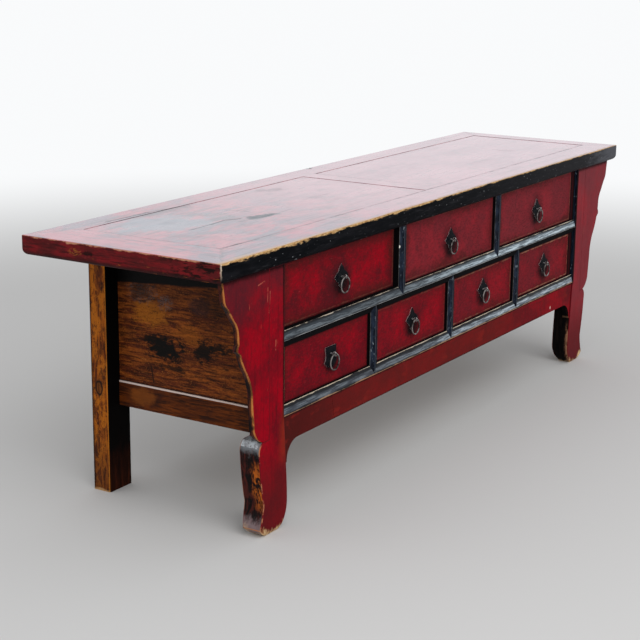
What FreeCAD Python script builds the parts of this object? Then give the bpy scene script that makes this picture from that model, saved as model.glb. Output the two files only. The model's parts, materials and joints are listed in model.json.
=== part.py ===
import FreeCAD, Part
import os
import Sketcher
from types import SimpleNamespace

# Low lacquered altar cabinet with seven drawers, in millimetres.
# X runs along the front, the drawers face -Y, and Z = 0 is the floor under the middle of the top.

SIZES = {
    # The top: a mitred frame with a centre rail and two flush panels
    "top_length": 1760.0,
    "top_depth": 444.0,
    "total_height": 543.0,
    "slab_thickness": 38.0,
    "slab_round": 13.0,
    "slab_arris": 2.0,
    "top_front_width": 72.0,
    "top_back_width": 58.0,
    "top_left_width": 102.0,
    "top_right_width": 54.0,
    "centre_rail_width": 52.0,
    "centre_tenon_width": 28.0,
    "centre_tenon_length": 22.0,
    "top_panel_thickness": 14.0,
    "top_panel_drop": 0.6,
    "top_panel_seam": 0.8,
    "tongue_cover": 4.0,
    "tongue_thickness": 6.0,
    "tongue_length": 8.0,
    "tongue_play": 2.0,
    "batten_width": 30.0,
    "batten_height": 18.0,
    "dovetail_height": 5.0,
    "dovetail_neck": 18.0,
    "dovetail_width": 24.0,
    "chip_place": 82.0,
    "chip_length": 15.0,
    "chip_depth": 6.0,
    # Front legs: a square post on a shouldered foot with a hoof toe
    "leg_setback": 13.5,
    "leg_inset": 214.5,
    "post_width": 50.0,
    "post_depth": 44.0,
    "rebate_width": 15.0,
    "rebate_depth": 10.0,
    "leg_tenon_margin": 12.0,
    "leg_tenon_length": 20.0,
    "shoulder_height": 186.0,
    "shoulder_reach": 31.0,
    "shoulder_drop": 26.0,
    "neck_reach": 17.0,
    "neck_height": 64.0,
    "toe_reach": 30.0,
    "toe_height": 17.0,
    "sole_reach": 6.0,
    "sole_width": 40.0,
    "sole_setback": 4.0,
    "sole_depth": 27.0,
    "heel_height": 52.0,
    "calf_reach": 11.0,
    "calf_height": 50.0,
    "knee_reach": 7.5,
    "knee_height": 118.0,
    # Spandrel boards that fill the corner between the post and the overhanging top
    "spandrel_inset": 24.0,
    "spandrel_thickness": 12.0,
    "spandrel_seat": 20.0,
    # Rear legs
    "rear_setback": 3.5,
    "rear_inset": 28.0,
    "rear_width": 68.0,
    "rear_depth": 42.5,
    "rear_round": 4.0,
    # Ends
    "end_rail_bottom": 173.0,
    "end_rail_height": 51.0,
    "end_rail_thickness": 18.0,
    "end_rail_reach": 5.5,
    "end_panel_setback": 3.0,
    "end_panel_thickness": 12.0,
    "panel_housing": 6.0,
    "tenon_thickness": 10.0,
    "tenon_length": 20.0,
    "tenon_margin": 7.0,
    # Front frame, from the apron up
    "apron_bottom": 164.0,
    "apron_height": 51.5,
    "apron_setback": 2.0,
    "apron_thickness": 16.0,
    "bracket_length": 174.0,
    "bracket_slant": 5.5,
    "bracket_drop": 40.0,
    "bracket_heel": 12.0,
    "bracket_run": 34.0,
    "bracket_hollow": 10.5,
    "lower_rail_height": 21.0,
    "lower_bay_height": 110.0,
    "middle_rail_height": 31.5,
    "middle_crest_height": 13.0,
    "divider_width": 30.0,
    "crest_setback": 0.5,
    "bevel_depth": 4.5,
    "bevel_hollow": 0.6,
    "point_web": 3.0,
    # Back
    "back_rail_setback": 14.0,
    "back_rail_thickness": 22.0,
    "back_rail_height": 35.0,
    "back_panel_setback": 6.0,
    "back_panel_thickness": 10.0,
    # Drawers and what they run on
    "drawer_setback": 11.0,
    "deep_drawer_setback": 17.0,
    "drawer_back_clearance": 31.5,
    "drawer_front_thickness": 18.0,
    "drawer_side_play": 1.2,
    "drawer_head_play": 1.5,
    "drawer_floor_play": 0.3,
    "drawer_board": 10.0,
    "drawer_side_drop": 20.0,
    "drawer_bottom_rise": 3.0,
    "drawer_bottom_thickness": 7.0,
    "runner_ledge": 12.0,
    "runner_thickness": 18.0,
    "guide_height": 20.0,
    "guide_play": 1.0,
    # Iron pulls: plate, clenched staple and hanging ring
    "plate_size": 50.0,
    "plate_thickness": 1.6,
    "square_plate_width": 44.0,
    "square_plate_height": 43.0,
    "upper_pull_drop": 4.0,
    "lower_pull_rise": 3.5,
    "odd_pull_offset": 10.0,
    "ring_diameter": 35.0,
    "ring_wire": 3.5,
    "eye_wire": 2.4,
    "eye_play": 0.75,
    "eye_clearance": 4.0,
    "shank_diameter": 3.2,
    "clench_length": 22.0,
    "clench_thickness": 1.8,
}

# A quarter-circle arc stands this share of its radius off its chord
QUARTER_BULGE = 0.2929

# Outline of a spandrel's free edge, from the top down to the notch above the foot:
# share of its width, share of its height, and bulge as a share of its height
SCALLOPS = [
    (0.000, 1.000, 0.0),
    (0.036, 0.909, 0.0),
    (0.114, 0.843, 0.008),
    (0.242, 0.765, 0.0),
    (0.334, 0.671, -0.010),
    (0.342, 0.621, 0.0),
    (0.313, 0.583, 0.005),
    (0.377, 0.561, 0.0),
    (0.534, 0.426, 0.006),
    (0.633, 0.257, -0.012),
    (0.669, 0.091, 0.0),
]

# One quarter of a water-caltrop plate: a point, then the cusp halfway to the next point,
# as shares of half the plate's size
CALTROP_CUSP = 0.43
CALTROP_BULGE = 0.035

# The odd plate with a straight top: shares of its width and height, and bulge as a share of its width
SQUARE_PLATE = [
    (0.50, 0.00, 0.0),
    (0.86, 0.14, 0.05),
    (1.00, 0.30, 0.03),
    (0.90, 0.56, -0.03),
    (0.96, 1.00, 0.0),
    (0.04, 1.00, 0.0),
    (0.10, 0.56, 0.0),
    (0.00, 0.30, -0.03),
    (0.14, 0.14, 0.03),
]
SQUARE_PLATE_CLOSING_BULGE = 0.05
SQUARE_PLATE_EYE = 0.65

# Forged rod of the ring pulls: sides of the rod, and bends in a ring and in a staple's eye
ROD_SIDES = 8
RING_BENDS = 20
EYE_BENDS = 12


class Size:
    """A length that is known both as a number and as a formula on the sheet."""

    def __init__(self, number, formula):
        self.number = number
        self.formula = formula

    def __add__(self, other):
        other = as_size(other)
        return Size(self.number + other.number, f"({self.formula} + {other.formula})")

    def __sub__(self, other):
        other = as_size(other)
        return Size(self.number - other.number, f"({self.formula} - {other.formula})")

    def __mul__(self, other):
        other = as_size(other)
        return Size(self.number * other.number, f"({self.formula} * {other.formula})")

    def __truediv__(self, other):
        other = as_size(other)
        return Size(self.number / other.number, f"({self.formula} / {other.formula})")

    def __neg__(self):
        return Size(-self.number, f"(0 - {self.formula})")

    __radd__ = __add__
    __rmul__ = __mul__


def as_size(thing):
    if isinstance(thing, Size):
        return thing
    return Size(float(thing), f"({float(thing)})")


doc = FreeCAD.newDocument("altar_cabinet")
sheet = doc.addObject("Spreadsheet::Sheet", "Sizes")
for row, (alias, number) in enumerate(SIZES.items(), start=1):
    sheet.set(f"A{row}", alias.replace("_", " "))
    sheet.set(f"B{row}", str(number))
    sheet.setAlias(f"B{row}", alias)
doc.recompute()
S = SimpleNamespace(**{alias: Size(number, f"Sizes.{alias}") for alias, number in SIZES.items()})


# Building blocks

def bind(piece, target, size):
    piece.setExpression(target, as_size(size).formula)


def place(piece, x, y, z):
    for axis, at in zip("xyz", (x, y, z)):
        bind(piece, f"Placement.Base.{axis}", at)


def board(name, x, y, z):
    """A square-cut board between low and high limits along X, Y and Z."""
    piece = doc.addObject("Part::Box", name)
    for side, (low, high) in zip(("Length", "Width", "Height"), (x, y, z)):
        bind(piece, side, as_size(high) - low)
    place(piece, x[0], y[0], z[0])
    return piece


def arc_middle(start, end, bulge):
    """The point on an arc furthest from its chord; a positive bulge lies to the right from start to end."""
    chord = end - start
    aside = FreeCAD.Vector(chord.y, -chord.x, 0).normalize()
    return (start + end) * 0.5 + aside * bulge


def draw(sketch, corners):
    """Close an outline through corners (x, y, bulge); a bulge bends the edge that arrives at its corner."""
    points = [FreeCAD.Vector(as_size(x).number, as_size(y).number, 0) for x, y, bulge in corners]
    ends = []
    for index, (x, y, bulge) in enumerate(corners):
        start, end = points[index - 1], points[index]
        bulge = as_size(bulge)
        if bulge.number == 0:
            edge = sketch.addGeometry(Part.LineSegment(start, end))
        else:
            edge = sketch.addGeometry(Part.Arc(start, arc_middle(start, end, bulge.number), end))
        arrives = 2 if sketch.getPoint(edge, 2).isEqual(end, 1e-4) else 1
        ends.append((edge, arrives))
    for index, (x, y, bulge) in enumerate(corners):
        edge, arrives = ends[index]
        following, leaves = ends[(index + 1) % len(ends)]
        sketch.addConstraint(Sketcher.Constraint("Coincident", edge, arrives, following, 3 - leaves))
        for kind, at in (("DistanceX", as_size(x)), ("DistanceY", as_size(y))):
            number = sketch.addConstraint(Sketcher.Constraint(kind, -1, 1, edge, arrives, at.number))
            sketch.setExpression(f"Constraints[{number}]", at.formula)
        bulge = as_size(bulge)
        if bulge.number != 0:
            before_x, before_y, _ = corners[index - 1]
            across, up = as_size(x) - before_x, as_size(y) - before_y
            depth = bulge if bulge.number > 0 else -bulge
            radius = ((across * across + up * up) / 4 + depth * depth) / (depth * 2)
            number = sketch.addConstraint(Sketcher.Constraint("Radius", edge, radius.number))
            sketch.setExpression(f"Constraints[{number}]", radius.formula)


VIEWS = {"plan": ("XY_Plane", False), "front": ("XZ_Plane", True), "side": ("YZ_Plane", False)}


def profile(name, view, corners, origin, length):
    """An outline drawn in plan, front or side view and carried along the third axis."""
    body = doc.addObject("PartDesign::Body", name)
    role, reverse = VIEWS[view]
    plane = next(feature for feature in body.Origin.OriginFeatures if feature.Role == role)
    sketch = body.newObject("Sketcher::SketchObject", f"{name}_outline")
    sketch.AttachmentSupport = (plane, [""])
    sketch.MapMode = "FlatFace"
    draw(sketch, [corner if len(corner) == 3 else (*corner, 0) for corner in corners])
    pad = body.newObject("PartDesign::Pad", f"{name}_pad")
    pad.Profile = sketch
    pad.Reversed = reverse
    bind(pad, "Length", length)
    place(body, *origin)
    return body


def fuse(name, *pieces):
    joined = doc.addObject("Part::MultiFuse", name)
    joined.Shapes = list(pieces)
    joined.Refine = True
    return joined


def cut(name, base, *tools):
    remains = doc.addObject("Part::Cut", name)
    remains.Base = base
    remains.Tool = tools[0] if len(tools) == 1 else group(f"{name}_tools", *tools)
    remains.Refine = True
    return remains


def group(name, *pieces):
    together = doc.addObject("Part::Compound", name)
    together.Links = list(pieces)
    return together


def common(name, first, second):
    shared = doc.addObject("Part::Common", name)
    shared.Base = first
    shared.Tool = second
    shared.Refine = True
    return shared


def mirror(name, source, normal=(1, 0, 0)):
    image = doc.addObject("Part::Mirroring", name)
    image.Source = source
    image.Normal = FreeCAD.Vector(*normal)
    return image


nodes = []


def node(name, piece):
    """Give a finished piece the name it is kept under."""
    piece.Label = name
    nodes.append(piece)
    return piece


# Lines and levels that the pieces share

left = -S.top_length / 2
front = -S.top_depth / 2
back = S.top_depth / 2
under = S.total_height - S.slab_thickness

face = front + S.leg_setback
post_back = face + S.post_depth
legs_apart = S.top_length / 2 - S.leg_inset
bay_edge = legs_apart - S.rebate_width
core_front = face + S.rebate_depth

rear_back = back - S.rear_setback
rear_front = rear_back - S.rear_depth
rear_apart = legs_apart - S.rear_inset

apron_top = S.apron_bottom + S.apron_height
lower_floor = apron_top + S.lower_rail_height
lower_head = lower_floor + S.lower_bay_height
upper_floor = lower_head + S.middle_rail_height

back_rail_front = rear_front + S.back_rail_setback
upper_pitch = legs_apart * 2 / 3
lower_pitch = legs_apart / 2


# The top

panel_top = S.total_height - S.top_panel_drop
panel_low = panel_top - S.top_panel_thickness
tongue_top = panel_top - S.tongue_cover
tongue_low = tongue_top - S.tongue_thickness
centre_half = S.centre_rail_width / 2
groove_length = S.tongue_length + S.tongue_play
inner_left = left + S.top_left_width
inner_right = -left - S.top_right_width
inner_front = front + S.top_front_width
inner_back = back - S.top_back_width


def moulding(name, view, width, length):
    """A frame rail of the top: square inside, worn above and rounded under its outer edge."""
    return profile(name, view, [
        (S.slab_round, 0, S.slab_round * QUARTER_BULGE),
        (width, 0),
        (width, S.slab_thickness),
        (S.slab_arris, S.slab_thickness),
        (0, S.slab_thickness - S.slab_arris, S.slab_arris * QUARTER_BULGE),
        (0, S.slab_round),
    ], (left, front, under), length)


def long_rail(name, width):
    """A rail along the front of the top, mitred to meet both end rails."""
    mitres = profile(f"{name}_mitres", "plan", [
        (0, 0),
        (S.top_length, 0),
        (S.top_length - S.top_right_width, width),
        (S.top_left_width, width),
    ], (left, front, under), S.slab_thickness)
    return common(f"{name}_blank", mitres, moulding(f"{name}_moulding", "side", width, S.top_length))


def short_rail(name, width):
    """A rail along the left end of the top, mitred to meet the front and back rails."""
    mitres = profile(f"{name}_mitres", "plan", [
        (0, 0),
        (width, S.top_front_width),
        (width, S.top_depth - S.top_back_width),
        (0, S.top_depth),
    ], (left, front, under), S.slab_thickness)
    return common(f"{name}_blank", mitres, moulding(f"{name}_moulding", "front", width, S.top_depth))


def tongue_space(name, low_x, high_x, reach):
    """The space that a panel's tongue takes, reaching past the frame's inner edges."""
    return board(name, (low_x - reach, high_x + reach), (inner_front - reach, inner_back + reach),
                 (tongue_low, tongue_top))


def dovetailed_batten(name, x):
    """A batten across the panel with a dovetail key along its top."""
    neck_margin = (S.batten_width - S.dovetail_neck) / 2
    tail_margin = (S.batten_width - S.dovetail_width) / 2
    return profile(name, "front", [
        (0, 0),
        (S.batten_width, 0),
        (S.batten_width, S.batten_height),
        (S.batten_width - neck_margin, S.batten_height),
        (S.batten_width - tail_margin, S.batten_height + S.dovetail_height),
        (tail_margin, S.batten_height + S.dovetail_height),
        (neck_margin, S.batten_height),
        (0, S.batten_height),
    ], (x - S.batten_width / 2, inner_front, panel_low - S.batten_height), inner_back - inner_front)


def top_panel(side, low_x, high_x):
    """A floating panel; returns the groove that its tongue needs and the batten let into its underside."""
    groove = tongue_space(f"{side}_groove", low_x, high_x, groove_length)
    tongue = tongue_space(f"{side}_tongue", low_x, high_x, S.tongue_length)
    panel_board = board(f"{side}_panel_board", (low_x + S.top_panel_seam, high_x - S.top_panel_seam),
                        (inner_front + S.top_panel_seam, inner_back - S.top_panel_seam),
                        (panel_low, panel_top))
    batten = dovetailed_batten(f"{side}_batten", (low_x + high_x) / 2)
    blank = fuse(f"{side}_panel_blank", tongue, panel_board)
    node(f"top_{side}_panel", cut(f"{side}_panel", blank, batten))
    return groove, batten


left_groove, left_batten = top_panel("left", inner_left, -centre_half)
right_groove, right_batten = top_panel("right", centre_half, inner_right)
node("top_battens", group("battens", left_batten, right_batten))

tenon_half = S.centre_tenon_width / 2
centre_tenon = board("centre_tenon", (-tenon_half, tenon_half),
                     (inner_front - S.centre_tenon_length, inner_back + S.centre_tenon_length),
                     (under + S.slab_thickness / 4, under + S.slab_thickness / 2))
centre_board = board("centre_board", (-centre_half, centre_half), (inner_front, inner_back),
                     (under, S.total_height))
node("top_centre_rail", cut("centre_rail", fuse("centre_blank", centre_board, centre_tenon),
                            left_groove, right_groove))
node("top_left_end_rail", cut("left_top_end", short_rail("left_end", S.top_left_width), left_groove))
right_blank = mirror("right_end", short_rail("right_end_image", S.top_right_width))
node("top_right_end_rail", cut("right_top_end", right_blank, right_groove))


# Front legs, with the spandrel boards that stand on their shoulders

post_outer = S.leg_inset - S.post_width
sole_outer = post_outer - S.sole_reach
foot_front = profile("foot_front", "front", [
    (sole_outer, 0, 2.0),
    (sole_outer + S.sole_width, 0),
    (S.leg_inset + S.calf_reach, S.calf_height, 7.0),
    (S.leg_inset + S.knee_reach, S.knee_height, 1.0),
    (S.leg_inset, apron_top, 0),
    (S.leg_inset, under),
    (post_outer, under),
    (post_outer, S.shoulder_height),
    (post_outer - S.spandrel_seat, S.shoulder_height),
    (post_outer - S.shoulder_reach, S.shoulder_height - S.shoulder_drop, 5.0),
    (post_outer - S.neck_reach, S.neck_height, 2.0),
    (post_outer - S.toe_reach, S.toe_height, -2.5),
], (left, face, 0), S.post_depth)
foot_side = profile("foot_side", "side", [
    (S.sole_setback, 0, 1.5),
    (S.sole_setback + S.sole_depth, 0),
    (S.post_depth, S.heel_height, 4.0),
    (S.post_depth, under),
    (0, under),
    (0, S.toe_height),
], (left, face, 0), S.leg_inset + S.calf_reach)
leg_blank = common("leg_blank", foot_front, foot_side)

leg_tenon = board("leg_tenon", (left + post_outer + S.leg_tenon_margin, -legs_apart - S.leg_tenon_margin),
                  (face + S.leg_tenon_margin, post_back - S.leg_tenon_margin),
                  (under, under + S.leg_tenon_length))
spandrel_height = under - S.shoulder_height
spandrel_width = post_outer - S.spandrel_inset
scallops = [(spandrel_width * x, spandrel_height * y, spandrel_height * bulge if bulge else 0)
            for x, y, bulge in SCALLOPS]
spandrel = node("left_spandrel", profile("spandrel", "front", [
    (spandrel_width - S.spandrel_seat, 0, spandrel_height * 0.016),
    (spandrel_width, 0),
    (spandrel_width, spandrel_height),
    *scallops,
], (left + post_outer - spandrel_width, face, S.shoulder_height), S.spandrel_thickness))
node("right_spandrel", mirror("spandrel_image", spandrel))


# Apron: a plain strip with a curved bracket at each leg, scribed to the foot

apron_front = face + S.apron_setback
bracket_blank = profile("bracket_blank", "front", [
    (0, 0),
    (S.bracket_heel, 0),
    (S.bracket_heel + S.bracket_run, S.bracket_drop, -S.bracket_hollow),
    (S.bracket_length + S.bracket_slant, S.bracket_drop),
    (S.bracket_length - S.bracket_slant, S.bracket_drop + S.apron_height),
    (0, S.bracket_drop + S.apron_height),
], (-legs_apart, apron_front, S.apron_bottom - S.bracket_drop), S.apron_thickness)
bracket = node("left_apron_bracket", cut("bracket", bracket_blank, leg_blank))
node("right_apron_bracket", mirror("bracket_image", bracket))

strip_length = (legs_apart - S.bracket_length) * 2
node("apron", profile("apron_strip", "front", [
    (S.bracket_slant * 2, 0),
    (strip_length, 0),
    (strip_length + S.bracket_slant * 2, S.apron_height),
    (0, S.apron_height),
], (S.bracket_length - S.bracket_slant - legs_apart, apron_front, S.apron_bottom), S.apron_thickness))


# Ridged rails and dividers of the drawer front: hollow bevels meet in a crest, and each divider
# ends in a point that seats in a notch cut to the rail's crest

ridge_front = face + S.crest_setback
ridge_back = core_front - ridge_front
half_divider = S.divider_width / 2


def divider(name, x, low, low_point, high, high_point=None):
    """A divider between two levels; returns the pointed outline that notches the rails."""
    height = high - low + low_point
    corners = [(S.divider_width, low_point), (S.divider_width, height), (0, height), (0, low_point),
               (half_divider, 0)]
    if high_point is not None:
        corners.insert(2, (half_divider, height + high_point))
        height = height + high_point
    outline = profile(f"{name}_points", "front", corners, (x - half_divider, face, low - low_point),
                      S.rebate_depth)
    ridge = profile(f"{name}_ridge", "plan", [
        (half_divider, 0, -S.bevel_hollow),
        (S.divider_width, S.bevel_depth, -S.bevel_hollow),
        (S.divider_width, ridge_back),
        (0, ridge_back),
        (0, S.bevel_depth),
    ], (x - half_divider, ridge_front, low - low_point), height)
    core = board(f"{name}_core", (x - half_divider, x + half_divider), (core_front, post_back), (low, high))
    node(name, fuse(f"{name}_post", common(f"{name}_front", ridge, outline), core))
    return outline


def ridged_rail(name, low, height, section, notches):
    """A rail whose ridge runs from leg to leg and whose core is tenoned into the posts."""
    ridge = profile(f"{name}_ridge", "side", section, (-legs_apart, ridge_front, low), legs_apart * 2)
    notched = cut(f"{name}_notched", ridge, *notches)
    core = board(f"{name}_core", (-bay_edge, bay_edge), (core_front, post_back), (low, low + height))
    middle_y = (core_front + post_back) / 2
    tenon = board(f"{name}_tenon", (-bay_edge - S.tenon_length, bay_edge + S.tenon_length),
                  (middle_y - S.tenon_thickness / 2, middle_y + S.tenon_thickness / 2),
                  (low + S.tenon_margin, low + height - S.tenon_margin))
    node(name, fuse(f"{name}_whole", notched, core, tenon))
    return tenon


lower_point = S.lower_rail_height - S.point_web
middle_rise = S.middle_rail_height - S.middle_crest_height
upper_outlines = [
    divider("upper_left_divider", -upper_pitch / 2, upper_floor, middle_rise, under),
    divider("upper_right_divider", upper_pitch / 2, upper_floor, middle_rise, under),
]
lower_outlines = [
    divider(f"lower_{side}_divider", lower_pitch * place_in_row, lower_floor, lower_point,
            lower_head, S.middle_crest_height)
    for place_in_row, side in ((-1, "left"), (0, "centre"), (1, "right"))
]
two_bevels = [
    (S.bevel_depth, 0, -S.bevel_hollow),
    (ridge_back, 0),
    (ridge_back, S.middle_rail_height),
    (S.bevel_depth, S.middle_rail_height),
    (0, S.middle_crest_height, -S.bevel_hollow),
]
one_bevel = [
    (0, 0, -S.bevel_hollow),
    (ridge_back, 0),
    (ridge_back, S.lower_rail_height),
    (S.bevel_depth, S.lower_rail_height),
]
middle_tenon = ridged_rail("middle_rail", lower_head, S.middle_rail_height, two_bevels,
                           upper_outlines + lower_outlines)
lower_tenon = ridged_rail("lower_rail", apron_top, S.lower_rail_height, one_bevel, lower_outlines)


# Ends: a rail tenoned between front and rear legs, and a panel housed in all three

end_rail_outer = -legs_apart - S.end_rail_reach
end_rail_inner = end_rail_outer + S.end_rail_thickness
end_rail_top = S.end_rail_bottom + S.end_rail_height
end_middle = (end_rail_outer + end_rail_inner) / 2
end_panel_outer = end_rail_outer + S.end_panel_setback
end_panel = node("left_end_panel", board(
    "end_panel_board", (end_panel_outer, end_panel_outer + S.end_panel_thickness),
    (post_back - S.panel_housing, rear_front + S.panel_housing),
    (end_rail_top - S.panel_housing, under)))
node("right_end_panel", mirror("end_panel_image", end_panel))
end_tenon = board("end_tenon", (end_middle - S.tenon_thickness / 2, end_middle + S.tenon_thickness / 2),
                  (post_back - S.tenon_length, rear_front + S.tenon_length),
                  (S.end_rail_bottom + S.tenon_margin, end_rail_top - S.tenon_margin - S.panel_housing))
end_rail_board = board("end_rail_board", (end_rail_outer, end_rail_inner), (post_back, rear_front),
                       (S.end_rail_bottom, end_rail_top))
end_rail = node("left_end_rail", cut("end_rail", fuse("end_rail_blank_board", end_rail_board, end_tenon),
                                     end_panel))
node("right_end_rail", mirror("end_rail_image", end_rail))

post_lining = cut("post_lining", board("lining_board", (-legs_apart, -bay_edge), (core_front, post_back),
                                       (S.apron_bottom, under)), bracket_blank)
left_leg = node("front_left_leg", cut("left_leg", fuse("leg_with_tenon", leg_blank, post_lining, leg_tenon),
                                      middle_tenon, lower_tenon, end_tenon, end_panel))
node("front_right_leg", mirror("leg_image", left_leg))


# Back: two rails between the rear legs, and the panels above and below the upper one

def back_rail(name, low, height):
    middle_y = back_rail_front + S.back_rail_thickness / 2
    tenon = board(f"{name}_tenon", (-rear_apart - S.tenon_length, rear_apart + S.tenon_length),
                  (middle_y - S.tenon_thickness / 2, middle_y + S.tenon_thickness / 2),
                  (low + S.tenon_margin, low + height - S.tenon_margin))
    plain = board(f"{name}_board", (-rear_apart, rear_apart),
                  (back_rail_front, back_rail_front + S.back_rail_thickness), (low, low + height))
    node(name, cut(f"{name}_grooved", fuse(f"{name}_blank", plain, tenon), back_panels))
    return tenon


def back_panel(name, low, high):
    panel_front = back_rail_front + S.back_panel_setback
    return board(name, (-rear_apart - S.panel_housing, rear_apart + S.panel_housing),
                 (panel_front, panel_front + S.back_panel_thickness), (low, high))


back_panels = node("back_panels", group(
    "back_boards",
    back_panel("upper_back_panel", upper_floor - S.panel_housing, under),
    back_panel("lower_back_panel", lower_floor - S.panel_housing, lower_head + S.panel_housing)))
back_tenons = [
    back_rail("back_middle_rail", lower_head, S.middle_rail_height),
    back_rail("back_lower_rail", lower_floor - S.back_rail_height, S.back_rail_height),
]

rear_width, rear_depth = S.rear_width, S.rear_depth
bend = S.rear_round * QUARTER_BULGE
rear_post = profile("rear_post", "plan", [
    (S.rear_round, 0, bend),
    (rear_width - S.rear_round, 0),
    (rear_width, S.rear_round, bend),
    (rear_width, rear_depth - S.rear_round),
    (rear_width - S.rear_round, rear_depth, bend),
    (S.rear_round, rear_depth),
    (0, rear_depth - S.rear_round, bend),
    (0, S.rear_round),
], (-rear_apart - rear_width, rear_front, 0), under)
rear_tenon = board("rear_tenon",
                   (-rear_apart - rear_width + S.leg_tenon_margin, -rear_apart - S.leg_tenon_margin),
                   (rear_front + S.leg_tenon_margin, rear_back - S.leg_tenon_margin),
                   (under, under + S.leg_tenon_length))
rear_leg = node("rear_left_leg", cut("rear_leg", fuse("rear_leg_blank", rear_post, rear_tenon),
                                     end_tenon, end_panel, back_panels, *back_tenons))
node("rear_right_leg", mirror("rear_leg_image", rear_leg))

leg_tenons = group("leg_tenons", leg_tenon, mirror("leg_tenon_image", leg_tenon))
rear_tenons = group("rear_tenons", rear_tenon, mirror("rear_tenon_image", rear_tenon))
edge_chip = profile("edge_chip", "plan", [
    (0, 0),
    (S.chip_length / 3, -S.chip_depth),
    (S.chip_length * 0.8, S.chip_depth * -0.8),
    (S.chip_length, 0),
], (S.chip_place - S.chip_length / 2, back, S.total_height - S.chip_depth), S.chip_depth)
node("top_front_rail", cut("top_front", long_rail("front_rail", S.top_front_width),
                           left_groove, right_groove, centre_tenon, leg_tenons))
back_blank = mirror("back_rail", long_rail("back_rail_image", S.top_back_width), (0, 1, 0))
node("top_back_rail", cut("top_back", back_blank,
                          left_groove, right_groove, centre_tenon, rear_tenons, edge_chip))


# Runners under the drawers, with a guide strip on each between neighbours

def runner(name, floor, x, guide, reach):
    """A runner whose top is level with the rail, and its guide strip."""
    ledge = board(f"{name}_ledge", x, (post_back, reach), (floor - S.runner_thickness, floor))
    strip = board(f"{name}_guide", guide, (post_back, reach), (floor, floor + S.guide_height))
    return [ledge, strip]


def row_of_runners(name, floor, places):
    """End runners beside the end panels and one runner behind each divider."""
    guide_edge = -bay_edge - S.guide_play
    end_x = (end_rail_inner, S.runner_ledge - bay_edge)
    end_pieces = runner(f"{name}_end", floor, end_x, (end_rail_inner, guide_edge), rear_front)
    pieces = end_pieces + [mirror(f"{piece.Name}_image", piece) for piece in end_pieces]
    half = S.divider_width / 2
    for index, x in enumerate(places):
        pieces += runner(f"{name}_{index}", floor, (x - half - S.runner_ledge, x + half + S.runner_ledge),
                         (x - half + S.guide_play, x + half - S.guide_play), back_rail_front)
    return pieces


upper_places = [-upper_pitch / 2, upper_pitch / 2]
lower_places = [-lower_pitch, as_size(0), lower_pitch]
node("drawer_runners", group("runners", *row_of_runners("upper_runner", upper_floor, upper_places),
                             *row_of_runners("lower_runner", lower_floor, lower_places)))


# Drawers

def caltrop(half):
    """A four-pointed plate with a small cusp halfway along each side."""
    cusp = CALTROP_CUSP
    signs = [(0, 1), (-cusp, cusp), (-1, 0), (-cusp, -cusp), (0, -1), (cusp, -cusp), (1, 0), (cusp, cusp)]
    return [(half * (1 + x), half * (1 + y), half * CALTROP_BULGE) for x, y in signs]


def straight_topped():
    """A plate with a straight top, a waist and a rounded foot."""
    wide, tall = S.square_plate_width, S.square_plate_height
    corners = [(wide * x, tall * y, wide * bulge if bulge else 0) for x, y, bulge in SQUARE_PLATE]
    corners[0] = (*corners[0][:2], wide * SQUARE_PLATE_CLOSING_BULGE)
    return corners


def forged_ring(name, ring_radius, wire_radius, bends):
    """A ring hammered from eight-sided rod, lying flat about the origin."""
    path = doc.addObject("Part::RegularPolygon", f"{name}_path")
    path.Polygon = bends
    bind(path, "Circumradius", ring_radius)
    rod = doc.addObject("Part::RegularPolygon", f"{name}_rod")
    rod.Polygon = ROD_SIDES
    upright = FreeCAD.Rotation(FreeCAD.Vector(1, 0, 0), 90)
    flat_outward = FreeCAD.Rotation(FreeCAD.Vector(0, 0, 1), 180 / ROD_SIDES)
    rod.Placement = FreeCAD.Placement(FreeCAD.Vector(), upright * flat_outward)
    bind(rod, "Circumradius", wire_radius)
    place(rod, ring_radius, as_size(0), as_size(0))
    ring = doc.addObject("Part::Sweep", name)
    ring.Sections = [rod]
    ring.Spine = (path, [f"Edge{bend + 1}" for bend in range(bends)])
    ring.Solid = True
    ring.Transition = "Right corner"
    return ring


def set_up(name, ring, axis, x, y, z):
    """A ring stood up by a quarter turn about the given axis and carried to its place."""
    piece = group(name, ring)
    piece.Placement = FreeCAD.Placement(FreeCAD.Vector(), FreeCAD.Rotation(FreeCAD.Vector(*axis), 90))
    place(piece, x, y, z)
    return piece


ring_radius = (S.ring_diameter - S.ring_wire) / 2
eye_radius = (S.ring_wire + S.eye_wire) / 2 + S.eye_play
loose_ring = forged_ring("loose_ring", ring_radius, S.ring_wire / 2, RING_BENDS)
staple_eye = forged_ring("staple_eye", eye_radius, S.eye_wire / 2, EYE_BENDS)


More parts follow.
